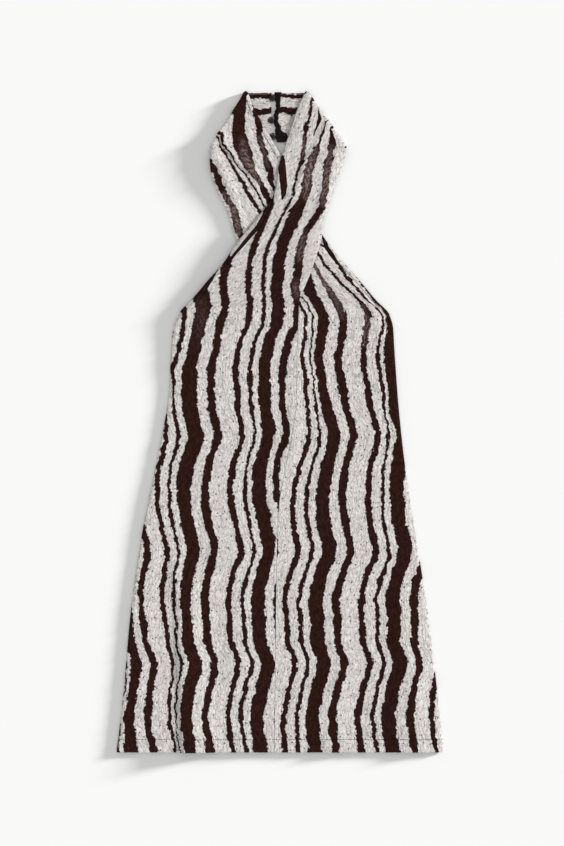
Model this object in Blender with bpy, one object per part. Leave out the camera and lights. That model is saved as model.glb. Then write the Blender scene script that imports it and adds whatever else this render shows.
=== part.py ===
"""Halter-neck tunic top, laid flat with its front up.

Metres, +Z up, +Y from the hem to the neck, +X to the right of someone looking down on it.
The cloth rests on the plane z = 0.

Each front half is cut in one with its strap. The strap turns round the side of the neck and goes on
as one half of the neckband, which lies behind with its inner side up. The cloth wall is made on
a middle sheet: rows run across from edge A (side seam, armhole, inner edge of the strap) to edge B
(centre seam, outer edge of the strap), and columns run along the cloth.
"""

import bisect
import math

import bmesh
import bpy
from mathutils import Vector

# Driving sizes of the laid garment
LENGTH = 0.924
HEM_WIDTH = 0.457
WALL = 0.0018
GAP = 0.0004
HEM_DEPTH = 0.018
HEM_STEP = 0.0004
ARMHOLE_HEM = 0.0056
ARMHOLE_STEP = 0.0006
EDGE_ROLL = 0.006
BACK_INSET = 0.0032
BACK_TOP = 0.6576
BAND_HEM = 0.0065
BAND_STEP = 0.0006
BUTTON_RADIUS = 0.0035
BUTTON_HEIGHT = 0.0026
CORD_RADIUS = 0.00055
MIDDLE_COLUMNS = 13
TURN_ROWS = 7
BAND_ROWS = 5

REST = WALL / 2.0
MM = 0.001

# Edge A and edge B are shares: across of half the hem width, up of the length.
# rise is the middle of the wall between the edges, a_low and b_low are its height where an edge
# rolls down, all in millimetres. b_free is 0 where edge B is sewn and 1 where it is free.
STATION_COLUMNS = ("station", "a_across", "a_up", "b_across", "b_up", "rise", "a_low", "b_low", "b_free")

LEFT_STATIONS = (
    ("hem", -0.997, 0.000, -0.038, 0.000, 3.4, 1.1, 3.4, 0.0),
    ("calf", -0.955, 0.094, -0.032, 0.094, 3.4, 1.1, 3.4, 0.0),
    ("low hip", -0.912, 0.212, -0.027, 0.212, 3.4, 1.1, 3.4, 0.0),
    ("hip", -0.841, 0.333, -0.017, 0.333, 3.4, 1.1, 3.4, 0.0),
    ("waist", -0.741, 0.455, 0.054, 0.455, 3.4, 1.1, 3.4, 0.0),
    ("midriff", -0.678, 0.545, 0.100, 0.545, 3.4, 1.1, 3.4, 0.0),
    ("underbust", -0.663, 0.617, 0.103, 0.617, 4.2, 1.1, 4.2, 0.0),
    ("bust", -0.648, 0.645, 0.106, 0.658, 5.6, 1.1, 5.6, 0.0),
    ("underarm", -0.614, 0.664, 0.115, 0.682, 6.6, 1.2, 6.4, 0.2),
    ("armhole low", -0.528, 0.687, 0.145, 0.703, 7.4, 1.6, 6.4, 0.8),
    ("armhole mid", -0.436, 0.714, 0.188, 0.729, 8.2, 2.6, 6.4, 1.0),
    ("armhole high", -0.345, 0.739, 0.222, 0.755, 8.8, 4.6, 6.4, 1.0),
    ("crossing low", -0.271, 0.767, 0.250, 0.779, 9.2, 6.8, 6.2, 1.0),
    ("crossing mid", -0.185, 0.793, 0.259, 0.802, 9.4, 7.2, 5.4, 1.0),
    ("crossing high", -0.106, 0.817, 0.286, 0.823, 9.4, 7.4, 4.6, 1.0),
    ("strap low", -0.047, 0.836, 0.311, 0.842, 9.2, 7.4, 4.2, 1.0),
    ("strap mid", -0.020, 0.859, 0.335, 0.861, 8.8, 7.2, 4.0, 1.0),
    ("strap high", -0.008, 0.882, 0.358, 0.876, 8.4, 6.8, 4.0, 1.0),
    ("neck low", 0.014, 0.902, 0.374, 0.886, 8.2, 6.4, 4.2, 1.0),
    ("neck mid", 0.041, 0.921, 0.386, 0.895, 8.0, 6.0, 4.6, 1.0),
    ("neck high", 0.069, 0.944, 0.394, 0.902, 7.8, 5.8, 5.2, 1.0),
    ("neck top", 0.106, 0.970, 0.397, 0.908, 7.6, 5.8, 5.8, 1.0),
    ("turn", 0.155, 0.995, 0.394, 0.914, 7.4, 5.8, 6.0, 1.0),
)

RIGHT_STATIONS = (
    ("hem", 0.997, 0.000, -0.038, 0.000, 3.4, 1.1, 3.4, 0.0),
    ("calf", 0.957, 0.094, -0.032, 0.094, 3.4, 1.1, 3.4, 0.0),
    ("low hip", 0.899, 0.212, -0.027, 0.212, 3.4, 1.1, 3.4, 0.0),
    ("hip", 0.824, 0.333, -0.017, 0.333, 3.4, 1.1, 3.4, 0.0),
    ("waist", 0.750, 0.455, 0.054, 0.455, 3.4, 1.1, 3.4, 0.0),
    ("midriff", 0.714, 0.545, 0.100, 0.545, 3.4, 1.1, 3.4, 0.0),
    ("underbust", 0.694, 0.617, 0.103, 0.617, 3.4, 1.1, 3.4, 0.0),
    ("bust", 0.688, 0.642, 0.106, 0.658, 3.4, 1.1, 3.4, 0.0),
    ("underarm", 0.666, 0.661, 0.115, 0.682, 3.4, 1.2, 3.4, 0.0),
    ("armhole low", 0.580, 0.684, 0.054, 0.697, 3.4, 1.4, 3.2, 0.0),
    ("armhole mid", 0.492, 0.710, -0.020, 0.714, 3.4, 1.6, 3.0, 0.0),
    ("armhole high", 0.400, 0.736, -0.093, 0.730, 3.4, 1.8, 2.8, 0.5),
    ("crossing low", 0.311, 0.762, -0.167, 0.747, 3.4, 2.0, 2.4, 1.0),
    ("crossing mid", 0.237, 0.789, -0.231, 0.761, 3.4, 2.4, 2.0, 1.0),
    ("crossing high", 0.176, 0.818, -0.271, 0.777, 3.4, 2.8, 1.6, 1.0),
    ("strap low", 0.121, 0.845, -0.296, 0.797, 3.5, 3.0, 1.6, 1.0),
    ("strap mid", 0.066, 0.871, -0.324, 0.820, 3.8, 3.2, 1.8, 1.0),
    ("strap high", 0.017, 0.895, -0.363, 0.839, 4.6, 3.6, 2.4, 1.0),
    ("neck low", -0.030, 0.916, -0.394, 0.856, 5.6, 4.6, 3.2, 1.0),
    ("neck mid", -0.075, 0.935, -0.415, 0.871, 6.4, 5.3, 4.0, 1.0),
    ("neck high", -0.118, 0.953, -0.425, 0.885, 7.0, 5.5, 5.0, 1.0),
    ("neck top", -0.164, 0.973, -0.428, 0.898, 7.4, 5.6, 5.6, 1.0),
    ("turn", -0.199, 0.995, -0.418, 0.913, 7.4, 5.8, 6.0, 1.0),
)

# How many rows lie between one station and the next
STEPS = (4, 3, 3, 3, 2, 2, 2, 2, 2, 2, 2, 2, 2, 2, 2, 2, 2, 2, 2, 2, 2, 2)

# The line of the centre seam, shares of half the hem width and of the length
SEAM_COLUMNS = ("up", "across")
CENTRE_SEAM = (
    (0.000, -0.038),
    (0.094, -0.032),
    (0.212, -0.027),
    (0.333, -0.017),
    (0.373, -0.008),
    (0.427, 0.029),
    (0.473, 0.066),
    (0.527, 0.097),
    (0.600, 0.103),
    (0.682, 0.115),
)

# Crest lines of the folds, from the hem side up. up and across are shares, the rest millimetres:
# the height of the crest and how far it falls away on its left and on its right.
FOLD_COLUMNS = ("up", "across", "height", "left", "right")

LEFT_FOLDS = (
    # flare of the skirt, steep to the left
    (
        (0.000, -0.577, 9.0, 15.0, 60.0),
        (0.094, -0.590, 8.0, 14.0, 56.0),
        (0.212, -0.614, 5.4, 14.0, 46.0),
        (0.291, -0.651, 2.6, 13.0, 34.0),
        (0.352, -0.688, 0.8, 12.0, 26.0),
        (0.390, -0.706, 0.0, 12.0, 22.0),
    ),
    # soft swell beside the centre seam
    (
        (0.300, -0.030, 0.0, 20.0, 18.0),
        (0.400, 0.005, 1.2, 18.0, 18.0),
        (0.500, 0.080, 1.8, 18.0, 18.0),
        (0.600, 0.103, 1.6, 18.0, 18.0),
        (0.690, 0.115, 0.0, 18.0, 18.0),
    ),
    # long low swell in the skirt
    (
        (0.000, -0.235, 1.4, 34.0, 30.0),
        (0.180, -0.245, 2.0, 34.0, 30.0),
        (0.330, -0.290, 0.8, 30.0, 28.0),
        (0.420, -0.310, 0.0, 28.0, 26.0),
    ),
    # crease up the inside of the strap
    (
        (0.790, 0.040, 0.0, 9.0, 12.0),
        (0.831, 0.072, 2.4, 8.0, 12.0),
        (0.859, 0.119, 3.2, 7.0, 12.0),
        (0.891, 0.157, 3.6, 7.0, 11.0),
        (0.918, 0.221, 3.4, 8.0, 10.0),
        (0.946, 0.286, 2.6, 9.0, 9.0),
        (0.962, 0.317, 1.6, 9.0, 8.0),
    ),
    # crease near the outer edge of the strap
    (
        (0.750, 0.150, 0.0, 10.0, 12.0),
        (0.800, 0.215, 1.6, 10.0, 12.0),
        (0.850, 0.275, 2.4, 10.0, 11.0),
        (0.885, 0.320, 2.4, 9.0, 10.0),
        (0.915, 0.360, 1.4, 8.0, 9.0),
    ),
    # soft roll behind the armhole edge
    (
        (0.655, -0.470, 0.0, 14.0, 22.0),
        (0.700, -0.360, 1.6, 14.0, 22.0),
        (0.745, -0.215, 1.8, 14.0, 20.0),
        (0.800, -0.060, 0.8, 12.0, 18.0),
        (0.830, 0.000, 0.0, 12.0, 16.0),
    ),
)

RIGHT_FOLDS = (
    # swell that lets the right edge of the skirt roll away
    (
        (0.000, 0.830, 3.0, 48.0, 26.0),
        (0.110, 0.800, 3.4, 46.0, 26.0),
        (0.220, 0.760, 2.2, 42.0, 24.0),
        (0.320, 0.720, 0.0, 40.0, 22.0),
    ),
    # soft swell beside the centre seam
    (
        (0.300, -0.030, 0.0, 20.0, 18.0),
        (0.400, 0.005, 1.2, 18.0, 18.0),
        (0.500, 0.080, 1.8, 18.0, 18.0),
        (0.600, 0.103, 1.6, 18.0, 18.0),
        (0.690, 0.115, 0.0, 18.0, 18.0),
    ),
    # long low swell in the skirt
    (
        (0.000, 0.330, 2.0, 36.0, 32.0),
        (0.150, 0.345, 1.6, 36.0, 32.0),
        (0.300, 0.360, 0.6, 32.0, 30.0),
        (0.380, 0.370, 0.0, 30.0, 28.0),
    ),
    # crease round the bust, along the armhole
    (
        (0.590, 0.660, 0.0, 16.0, 10.0),
        (0.630, 0.625, 1.8, 16.0, 9.0),
        (0.672, 0.555, 2.2, 14.0, 9.0),
        (0.710, 0.430, 1.8, 12.0, 9.0),
        (0.745, 0.300, 0.6, 10.0, 8.0),
        (0.760, 0.240, 0.0, 10.0, 8.0),
    ),
    # narrow pleat along the strap
    (
        (0.838, -0.050, 0.0, 6.0, 8.0),
        (0.853, -0.090, 1.0, 6.0, 8.0),
        (0.866, -0.125, 2.6, 6.0, 9.0),
        (0.891, -0.243, 4.2, 7.0, 11.0),
        (0.912, -0.310, 4.0, 7.0, 12.0),
        (0.932, -0.360, 3.0, 7.0, 12.0),
        (0.948, -0.385, 1.6, 7.0, 11.0),
    ),
    # full outer side of the strap
    (
        (0.778, -0.225, 0.0, 9.0, 12.0),
        (0.800, -0.245, 0.8, 10.0, 12.0),
        (0.830, -0.268, 2.2, 11.0, 11.0),
        (0.870, -0.335, 2.8, 10.0, 11.0),
        (0.900, -0.390, 1.8, 8.0, 9.0),
        (0.918, -0.420, 0.6, 7.0, 8.0),
    ),
)

# Binding on the slit edge: shares, and the height of its middle in millimetres
BINDING_COLUMNS = ("up", "left", "right", "height")
BINDING = (
    (0.9990, -0.0310, 0.0078, 3.3),
    (0.9890, -0.0295, 0.0090, 3.3),
    (0.9820, -0.0270, 0.0080, 2.8),
    (0.9670, -0.0235, 0.0075, 2.7),
    (0.9550, -0.0260, 0.0050, 2.7),
    (0.9430, -0.0290, 0.0046, 2.7),
    (0.9380, -0.0288, 0.0160, 2.7),
    (0.9330, -0.0285, 0.0420, 2.7),
    (0.9290, -0.0270, 0.0480, 2.7),
    (0.9240, -0.0260, 0.0500, 2.7),
)
BINDING_WALL = 0.0011

# Buttons: shares, and the height of the underside in millimetres
BUTTON_COLUMNS = ("name", "across", "up", "underside")
BUTTONS = (
    ("top", -0.0490, 0.9905, 2.8),
    ("middle", -0.0530, 0.9570, 2.2),
    ("bottom", -0.0470, 0.9320, 2.2),
)

# Ends of the two neckband halves at the slit
BAND_END_COLUMNS = ("top_across", "top_up", "foot_across", "foot_up")
LEFT_BAND_END = (-0.0225, 0.9985, -0.0165, 0.9235)
RIGHT_BAND_END = (-0.0530, 0.9985, -0.0560, 0.9245)


def plan(across, up):
    """Shares of the laid garment as a point in metres."""
    return Vector((across * HEM_WIDTH / 2.0, (up - 0.5) * LENGTH))


def smooth_table(knots, rows, at):
    """Smooth value of every column of a table at a place along its knots."""
    last = len(knots) - 1
    span = min(max(bisect.bisect_right(knots, at) - 1, 0), last - 1)
    step = knots[span + 1] - knots[span]
    part = min(max((at - knots[span]) / step, 0.0), 1.0)
    values = []
    for column in range(len(rows[0])):
        here = rows[span][column]
        there = rows[span + 1][column]
        chord = (there - here) / step
        before = chord
        after = chord
        if span > 0:
            past = (here - rows[span - 1][column]) / (knots[span] - knots[span - 1])
            before = limited(past, chord)
        if span + 1 < last:
            ahead = (rows[span + 2][column] - there) / (knots[span + 2] - knots[span + 1])
            after = limited(chord, ahead)
        two = part * part
        three = two * part
        value = (2.0 * three - 3.0 * two + 1.0) * here
        value += (three - 2.0 * two + part) * step * before
        value += (3.0 * two - 2.0 * three) * there
        value += (three - two) * step * after
        values.append(value)
    return values


def limited(first, second):
    """Slope at a knot that never overshoots its neighbours."""
    if first * second <= 0.0:
        return 0.0
    return 2.0 * first * second / (first + second)


def seam_across(up):
    knots = [row[0] for row in CENTRE_SEAM]
    return smooth_table(knots, [row[1:] for row in CENTRE_SEAM], up)[0]


def fold_height(folds, point):
    """Height in millimetres that the folds add at a point of the plan."""
    up = point.y / LENGTH + 0.5
    total = 0.0
    for fold in folds:
        if not fold[0][0] <= up <= fold[-1][0]:
            continue
        knots = [row[0] for row in fold]
        across, height, left, right = smooth_table(knots, [row[1:] for row in fold], up)
        above = smooth_table(knots, [row[1:2] for row in fold], min(up + 0.004, knots[-1]))[0]
        below = smooth_table(knots, [row[1:2] for row in fold], max(up - 0.004, knots[0]))[0]
        rise = (min(up + 0.004, knots[-1]) - max(up - 0.004, knots[0])) * LENGTH
        lean = math.atan2((above - below) * HEM_WIDTH / 2.0, rise)
        away = (point.x - across * HEM_WIDTH / 2.0) * math.cos(lean) / MM
        reach = left if away < 0.0 else right
        if abs(away) < reach:
            total += height * (0.5 + 0.5 * math.cos(math.pi * away / reach))
    return total


def roll(distance, radius):
    """Quarter round: 0 at the edge, 1 from the radius inwards."""
    if distance >= radius:
        return 1.0
    short = 1.0 - max(distance, 0.0) / radius
    return math.sqrt(max(1.0 - short * short, 0.0))


def column_distances(width):
    """Distances of the columns from edge A, close together at both edges."""
    near = [0.0, 0.0009, 0.0026, ARMHOLE_HEM - 0.0004, ARMHOLE_HEM + 0.0006]
    far = [width - 0.0044, width - 0.0014, width]
    start = near[-1]
    end = far[0]
    middle = []
    for number in range(1, MIDDLE_COLUMNS + 1):
        middle.append(start + (end - start) * number / (MIDDLE_COLUMNS + 1))
    return near + middle + far


def row_places(knots):
    """Where the rows lie along the stations, with two rows at the stitch line of the hem."""
    places = []
    for span, count in enumerate(STEPS):
        for number in range(count):
            places.append(knots[span] + (knots[span + 1] - knots[span]) * number / count)
    places.append(knots[-1])
    places[1] = HEM_DEPTH - 0.0006
    places.insert(2, HEM_DEPTH + 0.0006)
    return places


def front_sheet(stations, folds, side, band_end):
    """Middle points, wall above and below them, row by row. side is -1 left, 1 right."""
    knots = [0.0]
    for lower, upper in zip(stations, stations[1:]):
        a_step = (plan(upper[1], upper[2]) - plan(lower[1], lower[2])).length
        b_step = (plan(upper[3], upper[4]) - plan(lower[3], lower[4])).length
        knots.append(knots[-1] + (a_step + b_step) / 2.0)
    names = [row[0] for row in stations]
    values = [row[1:] for row in stations]
    underarm = knots[names.index("underarm")]
    seam_top = stations[names.index("underarm")][4]
    points = []
    outer = []
    inner = []
    seam_rows = []
    for place in row_places(knots):
        a_across, a_up, b_across, b_up, rise, a_low, b_low, b_free = smooth_table(knots, values, place)
        sewn = b_up <= seam_top + 1e-6
        if sewn:
            b_across = seam_across(b_up) + side * GAP / HEM_WIDTH
        edge_a = plan(a_across, a_up)
        edge_b = plan(b_across, b_up)
        width = (edge_b - edge_a).length
        row = []
        above = []
        for distance in column_distances(width):
            flat = edge_a.lerp(edge_b, distance / width)
            height = rise + fold_height(folds, flat)
            height = a_low + (height - a_low) * roll(distance, EDGE_ROLL)
            free = b_low + (height - b_low) * roll(width - distance, EDGE_ROLL)
            height += (free - height) * b_free
            row.append(Vector((flat.x, flat.y, height * MM)))
            extra = 0.0
            if place < HEM_DEPTH:
                extra = HEM_STEP
            if place > underarm and distance < ARMHOLE_HEM:
                extra = ARMHOLE_STEP
            above.append(WALL / 2.0 + extra)
        points.append(row)
        outer.append(above)
        inner.append([WALL / 2.0] * len(row))
        seam_rows.append(sewn)
    add_turn(points, outer, inner, seam_rows)
    add_band(points, outer, inner, seam_rows, band_end)
    return points, outer, inner, seam_rows


def add_turn(points, outer, inner, seam_rows):
    """Half round by which the strap turns under at the side of the neck."""
    top = [point.copy() for point in points[-1]]
    along = (top[-1] - top[0]).xy
    out = Vector((-along.y, along.x)).normalized()
    if out.dot((top[0] - points[-4][0]).xy) < 0.0:
        out = -out
    for number in range(1, TURN_ROWS + 1):
        angle = math.pi / 2.0 - math.pi * number / TURN_ROWS
        row = []
        for point in top:
            radius = (point.z - REST) / 2.0
            centre = REST + radius
            shift = out * (radius * math.cos(angle))
            row.append(Vector((point.x + shift.x, point.y + shift.y, centre + radius * math.sin(angle))))
        points.append(row)
        outer.append(list(outer[-1]))
        inner.append([WALL / 2.0] * len(row))
        seam_rows.append(False)
    outer[-1] = [WALL / 2.0] * len(top)


def add_band(points, outer, inner, seam_rows, band_end):
    """Neckband half, flat on the ground, from the turn to the slit."""
    start = [point.copy() for point in points[-1]]
    top_end = plan(band_end[0], band_end[1])
    foot_end = plan(band_end[2], band_end[3])
    width = (start[-1] - start[0]).xy.length
    for number in range(1, BAND_ROWS + 1):
        row = []
        below = []
        for point in start:
            share = (point - start[0]).xy.length / width
            end = top_end.lerp(foot_end, share)
            flat = point.xy.lerp(end, number / BAND_ROWS)
            row.append(Vector((flat.x, flat.y, REST)))
            thick = BAND_STEP if share * width < BAND_HEM else 0.0
            below.append(WALL / 2.0 + thick)
        points.append(row)
        outer.append([WALL / 2.0] * len(row))
        inner.append(below)
        seam_rows.append(False)


def sheet_normals(points, side, seam_rows):
    """Unit normals of the middle sheet. Along the sewn centre seam they stay upright."""
    normals = []
    last_row = len(points) - 1
    for i, row in enumerate(points):
        line = []
        for j in range(len(row)):
            up = points[min(i + 1, last_row)][j] - points[max(i - 1, 0)][j]
            across = row[min(j + 1, len(row) - 1)] - row[max(j - 1, 0)]
            normal = across.cross(up) * (1.0 if side < 0 else -1.0)
            if normal.length < 1e-12:
                normal = Vector((0.0, 0.0, 1.0))
            line.append(normal.normalized())
        if seam_rows[i]:
            line[-1] = Vector((0.0, 0.0, 1.0))
            line[-2] = (line[-2] + Vector((0.0, 0.0, 1.0))).normalized()
        normals.append(line)
    return normals


def wall_object(name, points, normals, outer, inner, material):
    """Closed wall round a sheet: outer face, inner face and the rim between them."""
    mesh = bpy.data.meshes.new(name)
    body = bmesh.new()
    top = []
    low = []
    for i, row in enumerate(points):
        top.append([body.verts.new(p + normals[i][j] * outer[i][j]) for j, p in enumerate(row)])
        low.append([body.verts.new(p - normals[i][j] * inner[i][j]) for j, p in enumerate(row)])
    rows = len(points)
    columns = len(points[0])
    for i in range(rows - 1):
        for j in range(columns - 1):
            body.faces.new((top[i][j], top[i][j + 1], top[i + 1][j + 1], top[i + 1][j]))
            body.faces.new((low[i][j], low[i + 1][j], low[i + 1][j + 1], low[i][j + 1]))
    for i in range(rows - 1):
        body.faces.new((top[i][0], top[i + 1][0], low[i + 1][0], low[i][0]))
        body.faces.new((top[i + 1][-1], top[i][-1], low[i][-1], low[i + 1][-1]))
    for j in range(columns - 1):
        body.faces.new((top[0][j + 1], top[0][j], low[0][j], low[0][j + 1]))
        body.faces.new((top[-1][j], top[-1][j + 1], low[-1][j + 1], low[-1][j]))
    bmesh.ops.recalc_face_normals(body, faces=body.faces[:])
    body.to_mesh(mesh)
    body.free()
    return finish_object(name, mesh, material)


def finish_object(name, mesh, material):
    mesh.shade_smooth()
    mesh.set_sharp_from_angle(angle=math.radians(50.0))
    mesh.materials.append(material)
    item = bpy.data.objects.new(name, mesh)
    bpy.context.scene.collection.objects.link(item)
    return item


def plain_material(name, colour, roughness):
    material = bpy.data.materials.new(name)
    material.use_nodes = True
    shader = material.node_tree.nodes["Principled BSDF"]
    shader.inputs["Base Color"].default_value = (colour[0], colour[1], colour[2], 1.0)
    shader.inputs["Roughness"].default_value = roughness
    shader.inputs["Metallic"].default_value = 0.0
    material.diffuse_color = (colour[0], colour[1], colour[2], 1.0)
    return material


def make_front(name, stations, folds, side, band_end, material):
    points, outer, inner, seam_rows = front_sheet(stations, folds, side, band_end)
    normals = sheet_normals(points, side, seam_rows)
    return wall_object(name, points, normals, outer, inner, material)


def side_across(stations, up):
    """Where edge A of a front half lies at a height on the body, as a share."""
    body = [row for row in stations if row[2] <= 0.70]
    knots = [row[2] for row in body]
    return smooth_table(knots, [(row[1],) for row in body], up)[0]


def make_back(material):
    rows = 12
    columns = 9
    inset = BACK_INSET / (HEM_WIDTH / 2.0)
    points = []
    for i in range(rows + 1):
        up = BACK_TOP * i / rows
        left = plan(side_across(LEFT_STATIONS, up) + inset, up)
        right = plan(side_across(RIGHT_STATIONS, up) - inset, up)
        row = []
        for j in range(columns + 1):
            flat = left.lerp(right, j / columns)
            row.append(Vector((flat.x, flat.y, REST)))
        points.append(row)
    up_normals = [[Vector((0.0, 0.0, 1.0))] * (columns + 1) for _ in points]
    half = [[WALL / 2.0] * (columns + 1) for _ in points]
    return wall_object("back_panel", points, up_normals, half, half, material)


def make_binding(material):
    columns = 4
    points = []
    for up, left, right, height in BINDING:
        start = plan(left, up)
        end = plan(right, up)
        row = []
        for j in range(columns + 1):
            flat = start.lerp(end, j / columns)
            row.append(Vector((flat.x, flat.y, height * MM)))
        points.append(row)
    points.reverse()
    up_normals = [[Vector((0.0, 0.0, 1.0))] * (columns + 1) for _ in points]
    half = [[BINDING_WALL / 2.0] * (columns + 1) for _ in points]
    return wall_object("slit_binding", points, up_normals, half, half, material)


def make_button(name, across, up, underside, material):
    """Small domed button turned about its own axis."""
    profile = ((0.62, 0.0), (0.90, 0.10), (1.0, 0.34), (0.93, 0.64), (0.66, 0.90))
    sides = 16
    centre = plan(across, up)
    mesh = bpy.data.meshes.new("button_" + name)
    body = bmesh.new()
    rings = []
    for radius, height in profile:
        ring = []
        for number in range(sides):
            angle = 2.0 * math.pi * number / sides
            x = centre.x + BUTTON_RADIUS * radius * math.cos(angle)
            y = centre.y + BUTTON_RADIUS * radius * math.sin(angle)
            ring.append(body.verts.new((x, y, underside * MM + BUTTON_HEIGHT * height)))
        rings.append(ring)
    for lower, upper in zip(rings, rings[1:]):
        for number in range(sides):
            after = (number + 1) % sides
            body.faces.new((lower[number], lower[after], upper[after], upper[number]))
    body.faces.new(list(reversed(rings[0])))
    peak = body.verts.new((centre.x, centre.y, underside * MM + BUTTON_HEIGHT))
    for number in range(sides):
        body.faces.new((rings[-1][number], rings[-1][(number + 1) % sides], peak))
    bmesh.ops.recalc_face_normals(body, faces=body.faces[:])
    body.to_mesh(mesh)
    body.free()
    return finish_object("button_" + name, mesh, material)


def loop_path(across, up, underside):
    """Line of a cord loop: from the binding round the button and back."""
    centre = plan(across, up)
    reach = BUTTON_RADIUS + CORD_RADIUS + 0.0004
    height = underside * MM + BUTTON_HEIGHT * 0.34
    knots = [row[0] for row in reversed(BINDING)]
    lefts = [(row[1],) for row in reversed(BINDING)]
    edge = smooth_table(knots, lefts, min(up, knots[-1]))[0]
    end = edge * HEM_WIDTH / 2.0 - 0.0004
    opening = math.radians(62.0)
    path = [Vector((end, centre.y + reach * math.sin(opening), height))]
    steps = 12
    for number in range(steps + 1):
        angle = opening + (2.0 * math.pi - 2.0 * opening) * number / steps
        x = centre.x + reach * math.cos(angle)
        y = centre.y + reach * math.sin(angle)
        path.append(Vector((x, y, height)))
    path.append(Vector((end, centre.y - reach * math.sin(opening), height)))
    return path


def make_loop(name, across, up, underside, material):
    sides = 6
    path = loop_path(across, up, underside)
    mesh = bpy.data.meshes.new("loop_" + name)
    body = bmesh.new()
    rings = []
    for number, point in enumerate(path):
        before = path[max(number - 1, 0)]
        after = path[min(number + 1, len(path) - 1)]
        along = (after - before).normalized()
        across_dir = along.cross(Vector((0.0, 0.0, 1.0))).normalized()
        ring = []
        for side in range(sides):
            angle = 2.0 * math.pi * side / sides
            shift = across_dir * math.cos(angle) + Vector((0.0, 0.0, 1.0)) * math.sin(angle)
            ring.append(body.verts.new(point + shift * CORD_RADIUS))
        rings.append(ring)
    for lower, upper in zip(rings, rings[1:]):
        for side in range(sides):
            after = (side + 1) % sides
            body.faces.new((lower[side], lower[after], upper[after], upper[side]))
    body.faces.new(rings[0])
    body.faces.new(list(reversed(rings[-1])))
    bmesh.ops.recalc_face_normals(body, faces=body.faces[:])
    body.to_mesh(mesh)
    body.free()
    return finish_object("loop_" + name, mesh, material)


def build():
    for item in list(bpy.data.objects):
        bpy.data.objects.remove(item, do_unlink=True)
    bpy.context.scene.unit_settings.system = "METRIC"
    cloth = plain_material("cloth", (0.52, 0.48, 0.45), 0.92)
    lining_side = plain_material("back_cloth", (0.50, 0.46, 0.43), 0.92)
    dark = plain_material("dark_binding", (0.020, 0.010, 0.008), 0.85)
    shell = plain_material("button", (0.012, 0.008, 0.007), 0.30)
    make_front("front_left", LEFT_STATIONS, LEFT_FOLDS, -1, LEFT_BAND_END, cloth)
    make_front("front_right", RIGHT_STATIONS, RIGHT_FOLDS, 1, RIGHT_BAND_END, cloth)
    make_back(lining_side)
    make_binding(dark)
    for name, across, up, underside in BUTTONS:
        make_button(name, across, up, underside, shell)
        make_loop(name, across, up, underside, dark)


build()
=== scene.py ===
"""Dressed scene of the crossed halter-neck tunic top, laid flat and seen from straight above.

Metres, in the row's frame: +Y from the hem to the neck, +Z up. The cloth pieces follow the same
stations as their solids, at a finer spacing, with the crinkle and the small creases added. The
cloth's own coordinates, across the stripes and along them, are kept as a UV map in pattern units.
"""

import math

import bpy
import numpy as np
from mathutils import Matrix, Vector


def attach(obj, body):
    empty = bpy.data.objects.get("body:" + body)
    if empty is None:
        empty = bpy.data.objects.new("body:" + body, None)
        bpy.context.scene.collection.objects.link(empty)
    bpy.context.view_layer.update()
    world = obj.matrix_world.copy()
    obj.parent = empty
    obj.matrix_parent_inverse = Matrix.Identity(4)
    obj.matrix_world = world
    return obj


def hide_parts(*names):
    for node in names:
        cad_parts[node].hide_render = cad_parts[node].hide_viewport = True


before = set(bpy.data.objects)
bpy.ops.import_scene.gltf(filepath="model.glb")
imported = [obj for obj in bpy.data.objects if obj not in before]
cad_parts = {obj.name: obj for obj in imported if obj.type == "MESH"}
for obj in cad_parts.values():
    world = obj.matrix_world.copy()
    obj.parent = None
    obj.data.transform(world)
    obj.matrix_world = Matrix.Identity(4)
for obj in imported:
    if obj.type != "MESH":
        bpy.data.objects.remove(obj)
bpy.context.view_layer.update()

# Sizes shared with the solids
LENGTH = 0.924
HEM_WIDTH = 0.457
WALL = 0.0018
GAP = 0.0004
HEM_DEPTH = 0.018
HEM_STEP = 0.0004
ARMHOLE_HEM = 0.0056
ARMHOLE_STEP = 0.0006
EDGE_ROLL = 0.006
BACK_INSET = 0.0032
BACK_TOP = 0.6576
BAND_HEM = 0.0065
BAND_STEP = 0.0006
BAND_RIM = 0.0022
REST = WALL / 2.0
MM = 0.001

# One unit of the cloth's pattern, and the spacing of the fine sheet
UNIT = 0.0014
ROW_SPACING = 0.0022
MIDDLE_COLUMNS = 92
TURN_ROWS = 14
BAND_ROWS = 28

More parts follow.
